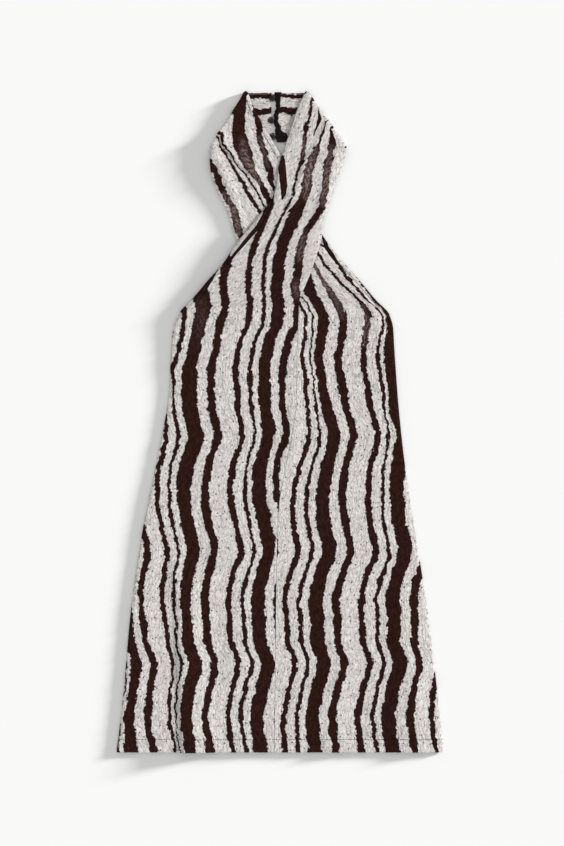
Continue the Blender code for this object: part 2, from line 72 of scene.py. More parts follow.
# station, a_across, a_up, b_across, b_up, rise, a_low, b_low, b_free
LEFT_STATIONS = (
    ("hem", -0.997, 0.000, -0.038, 0.000, 3.4, 1.1, 3.4, 0.0),
    ("calf", -0.955, 0.094, -0.032, 0.094, 3.4, 1.1, 3.4, 0.0),
    ("low hip", -0.912, 0.212, -0.027, 0.212, 3.4, 1.1, 3.4, 0.0),
    ("hip", -0.841, 0.333, -0.017, 0.333, 3.4, 1.1, 3.4, 0.0),
    ("waist", -0.741, 0.455, 0.054, 0.455, 3.4, 1.1, 3.4, 0.0),
    ("midriff", -0.678, 0.545, 0.100, 0.545, 3.4, 1.1, 3.4, 0.0),
    ("underbust", -0.663, 0.617, 0.103, 0.617, 4.2, 1.1, 4.2, 0.0),
    ("bust", -0.648, 0.645, 0.106, 0.658, 5.6, 1.1, 5.6, 0.0),
    ("underarm", -0.614, 0.664, 0.115, 0.682, 6.6, 1.2, 6.4, 0.2),
    ("armhole low", -0.528, 0.687, 0.145, 0.703, 7.4, 1.6, 6.4, 0.8),
    ("armhole mid", -0.436, 0.714, 0.188, 0.729, 8.2, 2.6, 6.4, 1.0),
    ("armhole high", -0.345, 0.739, 0.222, 0.755, 8.8, 4.6, 6.4, 1.0),
    ("crossing low", -0.271, 0.767, 0.250, 0.779, 9.2, 6.8, 6.2, 1.0),
    ("crossing mid", -0.185, 0.793, 0.259, 0.802, 9.4, 7.2, 5.4, 1.0),
    ("crossing high", -0.106, 0.817, 0.286, 0.823, 9.4, 7.4, 4.6, 1.0),
    ("strap low", -0.047, 0.836, 0.311, 0.842, 9.2, 7.4, 4.2, 1.0),
    ("strap mid", -0.020, 0.859, 0.335, 0.861, 8.8, 7.2, 4.0, 1.0),
    ("strap high", -0.008, 0.882, 0.358, 0.876, 8.4, 6.8, 4.0, 1.0),
    ("neck low", 0.014, 0.902, 0.374, 0.886, 8.2, 6.4, 4.2, 1.0),
    ("neck mid", 0.041, 0.921, 0.386, 0.895, 8.0, 6.0, 4.6, 1.0),
    ("neck high", 0.069, 0.944, 0.394, 0.902, 7.8, 5.8, 5.2, 1.0),
    ("neck top", 0.106, 0.970, 0.397, 0.908, 7.6, 5.8, 5.8, 1.0),
    ("turn", 0.155, 0.998, 0.394, 0.914, 7.4, 5.8, 6.0, 1.0),
)

RIGHT_STATIONS = (
    ("hem", 0.997, 0.000, -0.038, 0.000, 3.4, 1.1, 3.4, 0.0),
    ("calf", 0.957, 0.094, -0.032, 0.094, 3.4, 1.1, 3.4, 0.0),
    ("low hip", 0.899, 0.212, -0.027, 0.212, 3.4, 1.1, 3.4, 0.0),
    ("hip", 0.824, 0.333, -0.017, 0.333, 3.4, 1.1, 3.4, 0.0),
    ("waist", 0.750, 0.455, 0.054, 0.455, 3.4, 1.1, 3.4, 0.0),
    ("midriff", 0.714, 0.545, 0.100, 0.545, 3.4, 1.1, 3.4, 0.0),
    ("underbust", 0.694, 0.617, 0.103, 0.617, 3.4, 1.1, 3.4, 0.0),
    ("bust", 0.688, 0.642, 0.106, 0.658, 3.4, 1.1, 3.4, 0.0),
    ("underarm", 0.666, 0.661, 0.115, 0.682, 3.4, 1.2, 3.4, 0.0),
    ("armhole low", 0.580, 0.684, 0.054, 0.697, 3.4, 1.4, 3.2, 0.0),
    ("armhole mid", 0.492, 0.710, -0.020, 0.714, 3.4, 1.6, 3.0, 0.0),
    ("armhole high", 0.400, 0.736, -0.093, 0.730, 3.4, 1.8, 2.8, 0.5),
    ("crossing low", 0.311, 0.762, -0.167, 0.747, 3.4, 2.0, 2.4, 1.0),
    ("crossing mid", 0.237, 0.789, -0.231, 0.761, 3.4, 2.4, 2.0, 1.0),
    ("crossing high", 0.176, 0.818, -0.271, 0.777, 3.4, 2.8, 1.6, 1.0),
    ("strap low", 0.121, 0.845, -0.296, 0.797, 3.5, 3.0, 1.6, 1.0),
    ("strap mid", 0.066, 0.871, -0.324, 0.820, 3.8, 3.2, 1.8, 1.0),
    ("strap high", 0.017, 0.895, -0.363, 0.839, 4.6, 3.6, 2.4, 1.0),
    ("neck low", -0.030, 0.916, -0.394, 0.856, 5.6, 4.6, 3.2, 1.0),
    ("neck mid", -0.075, 0.935, -0.415, 0.871, 6.4, 5.3, 4.0, 1.0),
    ("neck high", -0.118, 0.953, -0.425, 0.885, 7.0, 5.5, 5.0, 1.0),
    ("neck top", -0.164, 0.973, -0.428, 0.898, 7.4, 5.6, 5.6, 1.0),
    ("turn", -0.203, 0.998, -0.418, 0.913, 7.4, 5.8, 6.0, 1.0),
)

# Where the stripes cross each station, as shares from edge A (0) to edge B (1).
# The head row gives each column's place in the pattern, in units.
LEFT_PATTERN = (
    97.5, 113.5, 134.0, 158.5, 172.5, 188.5, 209.0, 233.5, 245.3, 249.7, 256.2, 270.8, 280.0, 288.0, 310.0,
)
LEFT_SHARES = (
    (0.0, 0.077, 0.224, 0.371, 0.4, 0.46, 0.59, 0.735, 0.801, 0.829, 0.862, 0.956, 1.022, 1.078, 1.2),
    (-0.005, 0.042, 0.159, 0.299, 0.343, 0.42, 0.55, 0.702, 0.775, 0.805, 0.849, 0.945, 1.004, 1.056, 1.2),
    (-0.12, -0.013, 0.09, 0.246, 0.317, 0.397, 0.535, 0.697, 0.782, 0.812, 0.847, 0.947, 1.005, 1.055, 1.2),
    (-0.3, -0.17, -0.02, 0.121, 0.207, 0.311, 0.467, 0.664, 0.76, 0.792, 0.831, 0.939, 1.002, 1.058, 1.2),
    (-0.48, -0.35, -0.19, -0.01, 0.079, 0.194, 0.367, 0.56, 0.651, 0.685, 0.718, 0.826, 0.878, 0.922, 1.12),
    (-0.55, -0.4, -0.21, -0.025, 0.046, 0.185, 0.352, 0.554, 0.643, 0.677, 0.715, 0.815, 0.883, 0.941, 1.12),
    (-0.55, -0.41, -0.25, -0.08, 0.065, 0.178, 0.353, 0.536, 0.637, 0.671, 0.72, 0.82, 0.893, 0.957, 1.12),
    (-0.56, -0.42, -0.26, -0.09, 0.078, 0.201, 0.373, 0.594, 0.702, 0.738, 0.786, 0.886, 0.954, 1.014, 1.14),
    (-0.64, -0.5, -0.32, -0.14, 0.04, 0.192, 0.378, 0.588, 0.693, 0.729, 0.773, 0.877, 0.952, 1.016, 1.15),
    (-0.95, -0.8, -0.55, -0.3, -0.12, 0.078, 0.276, 0.497, 0.61, 0.65, 0.696, 0.808, 0.882, 0.962, 1.13),
    (-1.15, -1.0, -0.8, -0.55, -0.35, -0.12, 0.14, 0.387, 0.516, 0.56, 0.616, 0.74, 0.825, 0.909, 1.11),
    (-1.35, -1.2, -1.0, -0.75, -0.55, -0.3, 0.04, 0.286, 0.422, 0.47, 0.533, 0.677, 0.769, 0.859, 1.1),
    (-1.65, -1.5, -1.2, -0.9, -0.7, -0.45, -0.12, 0.221, 0.373, 0.425, 0.489, 0.639, 0.734, 0.834, 1.08),
    (-1.95, -1.8, -1.5, -1.2, -0.9, -0.6, -0.25, 0.17, 0.354, 0.406, 0.476, 0.666, 0.8, 0.91, 1.1),
    (-2.15, -2.0, -1.7, -1.4, -1.0, -0.7, -0.35, 0.07, 0.319, 0.375, 0.42, 0.63, 0.843, 0.963, 1.14),
    (-2.15, -2.0, -1.7, -1.4, -1.0, -0.7, -0.45, -0.05, 0.304, 0.356, 0.44, 0.612, 0.81, 0.934, 1.12),
    (-2.15, -2.0, -1.7, -1.4, -1.0, -0.7, -0.5, -0.17, 0.292, 0.344, 0.428, 0.604, 0.778, 0.89, 1.09),
    (-2.15, -2.0, -1.7, -1.4, -1.0, -0.7, -0.5, -0.22, 0.3, 0.356, 0.416, 0.568, 0.737, 0.857, 1.08),
    (-2.15, -2.0, -1.7, -1.4, -1.0, -0.75, -0.55, -0.25, 0.302, 0.37, 0.42, 0.57, 0.71, 0.838, 1.08),
    (-2.15, -2.0, -1.7, -1.4, -1.0, -0.8, -0.6, -0.3, 0.263, 0.343, 0.461, 0.56, 0.712, 0.84, 1.08),
    (-2.15, -2.0, -1.7, -1.4, -1.0, -0.8, -0.65, -0.35, 0.214, 0.294, 0.497, 0.53, 0.67, 0.79, 1.08),
    (-2.15, -2.0, -1.7, -1.4, -1.0, -0.8, -0.65, -0.4, 0.188, 0.26, 0.515, 0.548, 0.654, 0.822, 1.08),
    (-2.15, -2.0, -1.7, -1.4, -1.0, -0.8, -0.65, -0.45, 0.127, 0.183, 0.521, 0.529, 0.626, 0.67, 1.08),
)

RIGHT_PATTERN = (488.5, 458.5, 434.0, 420.8, 406.2, 397.5, 383.5, 359.0, 338.5, 308.5, 290.0)
RIGHT_SHARES = (
    (-0.120, 0.045, 0.172, 0.259, 0.345, 0.398, 0.490, 0.643, 0.763, 0.942, 1.04),
    (-0.150, 0.033, 0.154, 0.240, 0.330, 0.383, 0.473, 0.628, 0.755, 0.928, 1.04),
    (-0.300, -0.090, 0.067, 0.158, 0.254, 0.312, 0.411, 0.577, 0.712, 0.917, 1.03),
    (-0.450, -0.210, -0.020, 0.078, 0.184, 0.240, 0.350, 0.528, 0.685, 0.907, 1.03),
    (-0.600, -0.300, -0.120, 0.007, 0.131, 0.183, 0.302, 0.517, 0.675, 0.908, 1.05),
    (-0.700, -0.400, -0.180, -0.068, 0.072, 0.116, 0.255, 0.506, 0.717, 0.880, 1.03),
    (-0.700, -0.400, -0.170, -0.046, 0.100, 0.155, 0.304, 0.552, 0.770, 0.933, 1.07),
    (-0.700, -0.400, -0.170, -0.066, 0.070, 0.108, 0.268, 0.526, 0.743, 0.930, 1.07),
    (-0.700, -0.400, -0.180, -0.070, 0.045, 0.084, 0.242, 0.546, 0.800, 1.000, 1.12),
    (-0.700, -0.400, -0.230, -0.110, 0.030, 0.100, 0.207, 0.489, 0.758, 1.040, 1.20),
    (-0.700, -0.450, -0.250, -0.140, 0.010, 0.106, 0.233, 0.439, 0.640, 1.000, 1.25),
    (-0.700, -0.450, -0.260, -0.160, -0.020, 0.079, 0.240, 0.367, 0.540, 0.950, 1.25),
    (-0.700, -0.450, -0.270, -0.170, -0.050, 0.045, 0.200, 0.310, 0.480, 0.950, 1.25),
    (-0.600, -0.350, -0.120, 0.050, 0.170, 0.250, 0.400, 0.600, 0.820, 1.150, 1.40),
    (-0.400, -0.150, 0.100, 0.250, 0.360, 0.430, 0.560, 0.930, 1.120, 1.400, 1.60),
    (-0.250, 0.000, 0.230, 0.370, 0.450, 0.490, 0.590, 0.917, 1.120, 1.400, 1.60),
    (-0.250, 0.000, 0.274, 0.375, 0.460, 0.518, 0.621, 0.911, 1.120, 1.400, 1.60),
    (-0.300, -0.050, 0.222, 0.388, 0.480, 0.548, 0.635, 0.929, 1.140, 1.400, 1.60),
    (-0.350, -0.080, 0.182, 0.358, 0.508, 0.570, 0.645, 0.932, 1.150, 1.400, 1.60),
    (-0.400, -0.120, 0.130, 0.300, 0.540, 0.606, 0.665, 0.935, 1.160, 1.400, 1.60),
    (-0.450, -0.200, 0.040, 0.290, 0.550, 0.652, 0.700, 0.967, 1.180, 1.400, 1.60),
    (-0.500, -0.300, -0.040, 0.190, 0.510, 0.712, 0.760, 1.020, 1.200, 1.400, 1.60),
    (-0.550, -0.380, -0.160, 0.000, 0.400, 0.754, 0.800, 1.100, 1.250, 1.400, 1.60),
)

# Sway of the stripes over the body: along the cloth, and to the right, in units
SWAY = (
    (0.0, 1.2),
    (34.0, -2.5),
    (60.0, 1.6),
    (88.0, 7.8),
    (112.0, -0.4),
    (128.0, -1.6),
    (154.0, -3.9),
    (180.0, 1.4),
    (202.0, 7.9),
    (232.0, 2.5),
    (262.0, 0.9),
    (288.0, 3.3),
    (316.0, 8.1),
    (350.0, -1.6),
    (384.0, -3.7),
    (408.0, 0.0),
)

# The neckband behind: shares down from its top edge, and the pattern there
BAND_SHARES = (0.0, 0.05, 0.12, 0.36, 0.50, 1.0)
BAND_PATTERN = (399.2, 397.5, 394.5, 383.5, 377.0, 366.5)

# Stretches of stripe that run along a folded edge, drawn in the stripes' black and brown; the first left
# line, along the over strap's V edge, is in part a painted crease shadow: across and up as shares, half
# width in mm
LEFT_STRIPE_AND_SHADOW_MARKS = (
    # along the over strap's V edge: stripe wrapping the edge, and a painted crease shadow
    ((-0.322, 0.738, 1.6), (-0.273, 0.755, 2.0), (-0.205, 0.775, 2.8), (-0.135, 0.795, 3.2),
     (-0.084, 0.816, 3.6), (-0.062, 0.831, 3.6), (-0.054, 0.840, 1.0)),
    ((-0.370, 0.732, 0.4), (-0.400, 0.723, 2.0), (-0.431, 0.712, 2.4), (-0.461, 0.700, 2.6),
     (-0.492, 0.690, 2.8), (-0.512, 0.682, 2.6)),
    ((0.017, 0.902, 1.4), (0.011, 0.891, 4.8), (0.014, 0.879, 5.0), (0.018, 0.867, 5.0),
     (0.022, 0.856, 4.8), (0.020, 0.844, 3.4), (0.011, 0.836, 1.0)),
    ((0.233, 0.974, 0.4), (0.236, 0.966, 1.3), (0.242, 0.958, 2.9), (0.232, 0.952, 2.4),
     (0.224, 0.946, 1.5), (0.211, 0.939, 1.1), (0.203, 0.932, 0.5)),
    ((0.056, 0.970, 1.0), (0.085, 0.990, 2.2), (0.150, 0.998, 2.6)),
)
RIGHT_MARKS = (
    ((0.268, 0.775, 2.6), (0.284, 0.764, 2.6), (0.318, 0.753, 2.4), (0.344, 0.742, 2.0)),
    ((0.649, 0.666, 2.4), (0.683, 0.650, 3.0), (0.690, 0.632, 3.2)),
    ((-0.180, 1.001, 2.6), (-0.205, 1.001, 3.0), (-0.222, 0.992, 3.0)),
)

# Places where the brown stripes are drawn paler, partly stretched cloth letting pale threads through and
# partly a painted sheen where light grazes the fold ridges: across, up, half width in mm, and how much
LEFT_STRETCH_AND_SHEEN = (
    ((0.146, 0.930, 5.0, 0.3), (0.145, 0.910, 6.0, 0.6), (0.135, 0.900, 5.0, 0.3)),
    ((0.215, 0.912, 6.0, 0.4), (0.176, 0.883, 9.0, 0.9), (0.164, 0.862, 9.0, 0.9), (0.155, 0.840, 8.0, 0.5)),
    ((0.313, 0.914, 8.0, 0.3), (0.300, 0.890, 9.0, 0.8), (0.276, 0.862, 9.0, 0.8), (0.262, 0.830, 8.0, 0.5)),
    ((0.150, 0.790, 7.0, 0.2), (0.126, 0.765, 8.0, 0.7), (0.115, 0.745, 7.0, 0.3)),
    ((0.097, 0.714, 7.0, 0.2), (0.095, 0.700, 8.0, 0.6), (0.100, 0.688, 6.0, 0.2)),
    ((-0.480, 0.680, 14.0, 0.12), (-0.480, 0.650, 14.0, 0.15), (-0.500, 0.620, 14.0, 0.05)),
)
RIGHT_STRETCH_AND_SHEEN = (
    ((-0.232, 0.925, 9.0, 0.3), (-0.215, 0.900, 11.0, 0.7), (-0.180, 0.885, 10.0, 0.8),
     (-0.130, 0.862, 8.0, 0.6)),
    ((-0.122, 0.930, 7.0, 0.3), (-0.105, 0.905, 7.0, 0.5), (-0.075, 0.888, 6.0, 0.2)),
    ((-0.340, 0.845, 8.0, 0.3), (-0.290, 0.825, 9.0, 0.7), (-0.260, 0.800, 9.0, 0.8),
     (-0.262, 0.775, 8.0, 0.4)),
    ((0.215, 0.735, 8.0, 0.7), (0.270, 0.710, 9.0, 0.7), (0.350, 0.685, 9.0, 0.5), (0.380, 0.660, 9.0, 0.2)),
    ((0.500, 0.675, 9.0, 0.3), (0.525, 0.650, 9.0, 0.6), (0.515, 0.620, 9.0, 0.3)),
)

CENTRE_SEAM = (
    (0.000, -0.038),
    (0.094, -0.032),
    (0.212, -0.027),
    (0.333, -0.017),
    (0.373, -0.008),
    (0.427, 0.029),
    (0.473, 0.066),
    (0.527, 0.097),
    (0.600, 0.103),
    (0.682, 0.115),
)

# Folds of the solids: up, across, height, left, right
LEFT_FOLDS = (
    (
        (0.000, -0.577, 9.0, 15.0, 60.0),
        (0.094, -0.590, 8.0, 14.0, 56.0),
        (0.212, -0.614, 5.4, 14.0, 46.0),
        (0.291, -0.651, 2.6, 13.0, 34.0),
        (0.352, -0.688, 0.8, 12.0, 26.0),
        (0.390, -0.706, 0.0, 12.0, 22.0),
    ),
    (
        (0.300, -0.030, 0.0, 20.0, 18.0),
        (0.400, 0.005, 1.2, 18.0, 18.0),
        (0.500, 0.080, 1.8, 18.0, 18.0),
        (0.600, 0.103, 1.6, 18.0, 18.0),
        (0.690, 0.115, 0.0, 18.0, 18.0),
    ),
    (
        (0.000, -0.235, 1.4, 34.0, 30.0),
        (0.180, -0.245, 2.0, 34.0, 30.0),
        (0.330, -0.290, 0.8, 30.0, 28.0),
        (0.420, -0.310, 0.0, 28.0, 26.0),
    ),
    (
        (0.790, 0.040, 0.0, 9.0, 12.0),
        (0.831, 0.072, 2.4, 8.0, 12.0),
        (0.859, 0.119, 3.2, 7.0, 12.0),
        (0.891, 0.157, 3.6, 7.0, 11.0),
        (0.918, 0.221, 3.4, 8.0, 10.0),
        (0.946, 0.286, 2.6, 9.0, 9.0),
        (0.962, 0.317, 1.6, 9.0, 8.0),
    ),
    (
        (0.750, 0.150, 0.0, 10.0, 12.0),
        (0.800, 0.215, 1.6, 10.0, 12.0),
        (0.850, 0.275, 2.4, 10.0, 11.0),
        (0.885, 0.320, 2.4, 9.0, 10.0),
        (0.915, 0.360, 1.4, 8.0, 9.0),
    ),
    (
        (0.655, -0.470, 0.0, 14.0, 22.0),
        (0.700, -0.360, 1.6, 14.0, 22.0),
        (0.745, -0.215, 1.8, 14.0, 20.0),
        (0.800, -0.060, 0.8, 12.0, 18.0),
        (0.830, 0.000, 0.0, 12.0, 16.0),
    ),
)

RIGHT_FOLDS = (
    (
        (0.000, 0.830, 3.0, 48.0, 26.0),
        (0.110, 0.800, 3.4, 46.0, 26.0),
        (0.220, 0.760, 2.2, 42.0, 24.0),
        (0.320, 0.720, 0.0, 40.0, 22.0),
    ),
    (
        (0.300, -0.030, 0.0, 20.0, 18.0),
        (0.400, 0.005, 1.2, 18.0, 18.0),
        (0.500, 0.080, 1.8, 18.0, 18.0),
        (0.600, 0.103, 1.6, 18.0, 18.0),
        (0.690, 0.115, 0.0, 18.0, 18.0),
    ),
    (
        (0.000, 0.330, 2.0, 36.0, 32.0),
        (0.150, 0.345, 1.6, 36.0, 32.0),
        (0.300, 0.360, 0.6, 32.0, 30.0),
        (0.380, 0.370, 0.0, 30.0, 28.0),
    ),
    (
        (0.590, 0.660, 0.0, 16.0, 10.0),
        (0.630, 0.625, 1.8, 16.0, 9.0),
        (0.672, 0.555, 2.2, 14.0, 9.0),
        (0.710, 0.430, 1.8, 12.0, 9.0),
        (0.745, 0.300, 0.6, 10.0, 8.0),
        (0.760, 0.240, 0.0, 10.0, 8.0),
    ),
    (
        (0.838, -0.050, 0.0, 6.0, 8.0),
        (0.853, -0.090, 1.0, 6.0, 8.0),
        (0.866, -0.125, 2.6, 6.0, 9.0),
        (0.891, -0.243, 4.2, 7.0, 11.0),
        (0.912, -0.310, 4.0, 7.0, 12.0),
        (0.932, -0.360, 3.0, 7.0, 12.0),
        (0.948, -0.385, 1.6, 7.0, 11.0),
    ),
    (
        (0.778, -0.225, 0.0, 9.0, 12.0),
        (0.800, -0.245, 0.8, 10.0, 12.0),
        (0.830, -0.268, 2.2, 11.0, 11.0),
        (0.870, -0.335, 2.8, 10.0, 11.0),
        (0.900, -0.390, 1.8, 8.0, 9.0),
        (0.918, -0.420, 0.6, 7.0, 8.0),
    ),
)

# Small soft creases that only the fine sheets have, same columns
LEFT_CREASES = (
    ((0.05, -0.860, 0.0, 12.0, 14.0), (0.20, -0.815, 1.1, 12.0, 16.0), (0.34, -0.760, 0.0, 10.0, 14.0)),
    ((0.12, -0.420, 0.0, 14.0, 18.0), (0.28, -0.440, 1.2, 14.0, 18.0), (0.47, -0.480, 0.0, 12.0, 16.0)),
    ((0.30, -0.170, 0.0, 12.0, 12.0), (0.44, -0.150, 0.9, 12.0, 14.0), (0.60, -0.100, 0.0, 12.0, 12.0)),
    ((0.44, -0.620, 0.0, 10.0, 14.0), (0.55, -0.560, 1.0, 10.0, 14.0), (0.66, -0.470, 0.0, 10.0, 12.0)),
    ((0.60, -0.300, 0.0, 12.0, 12.0), (0.70, -0.200, 1.0, 12.0, 14.0), (0.80, 0.020, 0.0, 10.0, 12.0)),
    ((0.62, -0.080, 0.0, 12.0, 12.0), (0.73, 0.000, 0.9, 12.0, 12.0), (0.84, 0.140, 0.0, 10.0, 10.0)),
)

RIGHT_CREASES = (
    ((0.04, 0.560, 0.0, 16.0, 14.0), (0.17, 0.560, 1.2, 16.0, 14.0), (0.33, 0.520, 0.0, 14.0, 12.0)),
    ((0.00, 0.120, 0.6, 14.0, 14.0), (0.14, 0.110, 1.0, 14.0, 14.0), (0.30, 0.120, 0.0, 12.0, 12.0)),
    ((0.36, 0.600, 0.0, 14.0, 10.0), (0.48, 0.580, 1.1, 14.0, 10.0), (0.60, 0.590, 0.0, 12.0, 10.0)),
    ((0.34, 0.230, 0.0, 14.0, 14.0), (0.47, 0.270, 1.0, 14.0, 14.0), (0.60, 0.300, 0.0, 12.0, 12.0)),
    ((0.60, 0.470, 0.0, 10.0, 9.0), (0.67, 0.420, 1.2, 10.0, 9.0), (0.74, 0.250, 0.0, 9.0, 8.0)),
)

# Tape on the slit edge: up, left, right as shares, and the height of its middle in millimetres
TAPE = (
    (0.9992, -0.0380, 0.0046, 3.3),
    (0.9939, -0.0395, 0.0010, 3.3),
    (0.9879, -0.0350, -0.0010, 3.2),
    (0.9821, -0.0245, 0.0005, 3.0),
    (0.9732, -0.0285, -0.0040, 2.8),
    (0.9641, -0.0390, -0.0090, 2.7),
    (0.9570, -0.0400, -0.0110, 2.7),
    (0.9492, -0.0330, 0.0005, 2.7),
    (0.9432, -0.0305, 0.0060, 2.7),
    (0.9386, -0.0290, 0.0230, 2.7),
    (0.9356, -0.0320, 0.0440, 2.7),
    (0.9303, -0.0305, 0.0485, 2.7),
    (0.9264, -0.0260, 0.0460, 2.7),
    (0.9235, -0.0170, 0.0260, 2.7),
)
TAPE_WALL = 0.0011
TAPE_ROWS = 110
TAPE_COLUMNS = 16
TAPE_LUMP = 0.0009

LEFT_BAND_END = (-0.0225, 0.9985, -0.0165, 0.9235)
RIGHT_BAND_END = (-0.0530, 0.9985, -0.0560, 0.9245)


def smooth(knots, rows, at):
    """Smooth values of every column of a table, never past its neighbours."""
    knots = np.asarray(knots, float)
    rows = np.asarray(rows, float)
    at = np.clip(np.asarray(at, float), knots[0], knots[-1])
    chord = np.diff(rows, axis=0) / np.diff(knots)[:, None]
    slope = np.zeros_like(rows)
    slope[0] = chord[0]
    slope[-1] = chord[-1]
    first, second = chord[:-1], chord[1:]
    total = np.where(np.abs(first + second) < 1e-12, 1.0, first + second)
    slope[1:-1] = np.where(first * second > 0.0, 2.0 * first * second / total, 0.0)
    span = np.clip(np.searchsorted(knots, at, side="right") - 1, 0, len(knots) - 2)
    step = (knots[span + 1] - knots[span])[:, None]
    part = (at - knots[span])[:, None] / step
    two = part * part
    three = two * part
    value = (2.0 * three - 3.0 * two + 1.0) * rows[span]
    value += (three - 2.0 * two + part) * step * slope[span]
    value += (3.0 * two - 2.0 * three) * rows[span + 1]
    value += (three - two) * step * slope[span + 1]
    return value


def plan(across, up):
    return np.stack([np.asarray(across) * HEM_WIDTH / 2.0, (np.asarray(up) - 0.5) * LENGTH], axis=-1)


def fold_height(folds, x, y):
    """Height in millimetres that folds add at points of the plan."""
    shape = x.shape
    x = x.ravel()
    up = y.ravel() / LENGTH + 0.5
    total = np.zeros_like(x)
    for fold in folds:
        table = np.asarray(fold)
        inside = (up >= table[0, 0]) & (up <= table[-1, 0])
        if not inside.any():
            continue
        here = up[inside]
        across, height, left, right = smooth(table[:, 0], table[:, 1:], here).T
        above = smooth(table[:, 0], table[:, 1:2], here + 0.004)[:, 0]
        below = smooth(table[:, 0], table[:, 1:2], here - 0.004)[:, 0]
        lean = np.arctan2((above - below) * HEM_WIDTH / 2.0, 0.008 * LENGTH)
        away = (x[inside] - across * HEM_WIDTH / 2.0) * np.cos(lean) / MM
        reach = np.where(away < 0.0, left, right)
        near = np.abs(away) < reach
        total[inside] += np.where(near, height * (0.5 + 0.5 * np.cos(math.pi * away / reach)), 0.0)
    return total.reshape(shape)


def roll(distance, radius):
    short = 1.0 - np.clip(distance, 0.0, radius) / radius
    return np.sqrt(np.clip(1.0 - short * short, 0.0, 1.0))


def value_noise(x, y, seed):
    """Soft noise from 0 to 1 on a unit lattice."""
    table = np.random.RandomState(seed).rand(256, 256)
    xi = np.floor(x).astype(int)
    yi = np.floor(y).astype(int)
    fx = x - xi
    fy = y - yi
    fx = fx * fx * (3.0 - 2.0 * fx)
    fy = fy * fy * (3.0 - 2.0 * fy)
    a = table[xi % 256, yi % 256]
    b = table[(xi + 1) % 256, yi % 256]
    c = table[xi % 256, (yi + 1) % 256]
    d = table[(xi + 1) % 256, (yi + 1) % 256]
    return (a * (1.0 - fx) + b * fx) * (1.0 - fy) + (c * (1.0 - fx) + d * fx) * fy


def crinkle(u, v, seed):
    """Pucker of the cloth in millimetres, narrow across the stripes and longer along them."""
    drift = (value_noise(u / 14.0, v / 22.0, seed + 5) - 0.5) * 5.0
    tall = value_noise((u + drift) / 3.4, v / 8.0, seed) - 0.5
    flat = value_noise(u / 7.0, (v + drift) / 4.2, seed + 1) - 0.5
    wide = value_noise(u / 16.0, v / 24.0, seed + 2) - 0.5
    return 0.62 * tall + 0.42 * flat + 0.60 * wide


def sway(v):
    """How far the stripes lie to the right of their mean line."""
    table = np.array(SWAY)
    flat = smooth(table[:, 0], table[:, 1:2], np.ravel(v))[:, 0]
    return flat.reshape(np.shape(v))


def line_field(lines, x, y):
    """For each point: depth inside the nearest line's width in millimetres, and its last column."""
    depth = np.full(x.shape, -3.0)
    amount = np.zeros(x.shape)
    for line in lines:
        table = np.array(line, float)
        spots = plan(table[:, 0], table[:, 1])
        for number in range(len(spots) - 1):
            start, end = spots[number], spots[number + 1]
            along = end - start
            part = ((x - start[0]) * along[0] + (y - start[1]) * along[1]) / np.dot(along, along)
            part = np.clip(part, 0.0, 1.0)
            gap = np.hypot(x - start[0] - part * along[0], y - start[1] - part * along[1]) / MM
            values = table[number, 2:][None, None, :] * (1.0 - part[..., None])
            values = values + table[number + 1, 2:][None, None, :] * part[..., None]
            depth = np.maximum(depth, values[..., 0] - gap)
            near = np.clip(1.0 - gap / values[..., 0], 0.0, 1.0)
            amount = np.maximum(amount, near * near * (3.0 - 2.0 * near) * values[..., -1])
    return depth, amount


def column_distances(width):
    """Distances of the columns from edge A, closer together at both edges."""
    near = [0.0, 0.0003, 0.0008, 0.0015, 0.0024, 0.0035, 0.0046, 0.0054, 0.0058, 0.0072]
    far = [width - d for d in (0.0055, 0.0036, 0.0022, 0.0011, 0.0004, 0.0)]
    middle = np.linspace(near[-1], far[0], MIDDLE_COLUMNS + 2)[1:-1]
    return np.array(near + list(middle) + far)


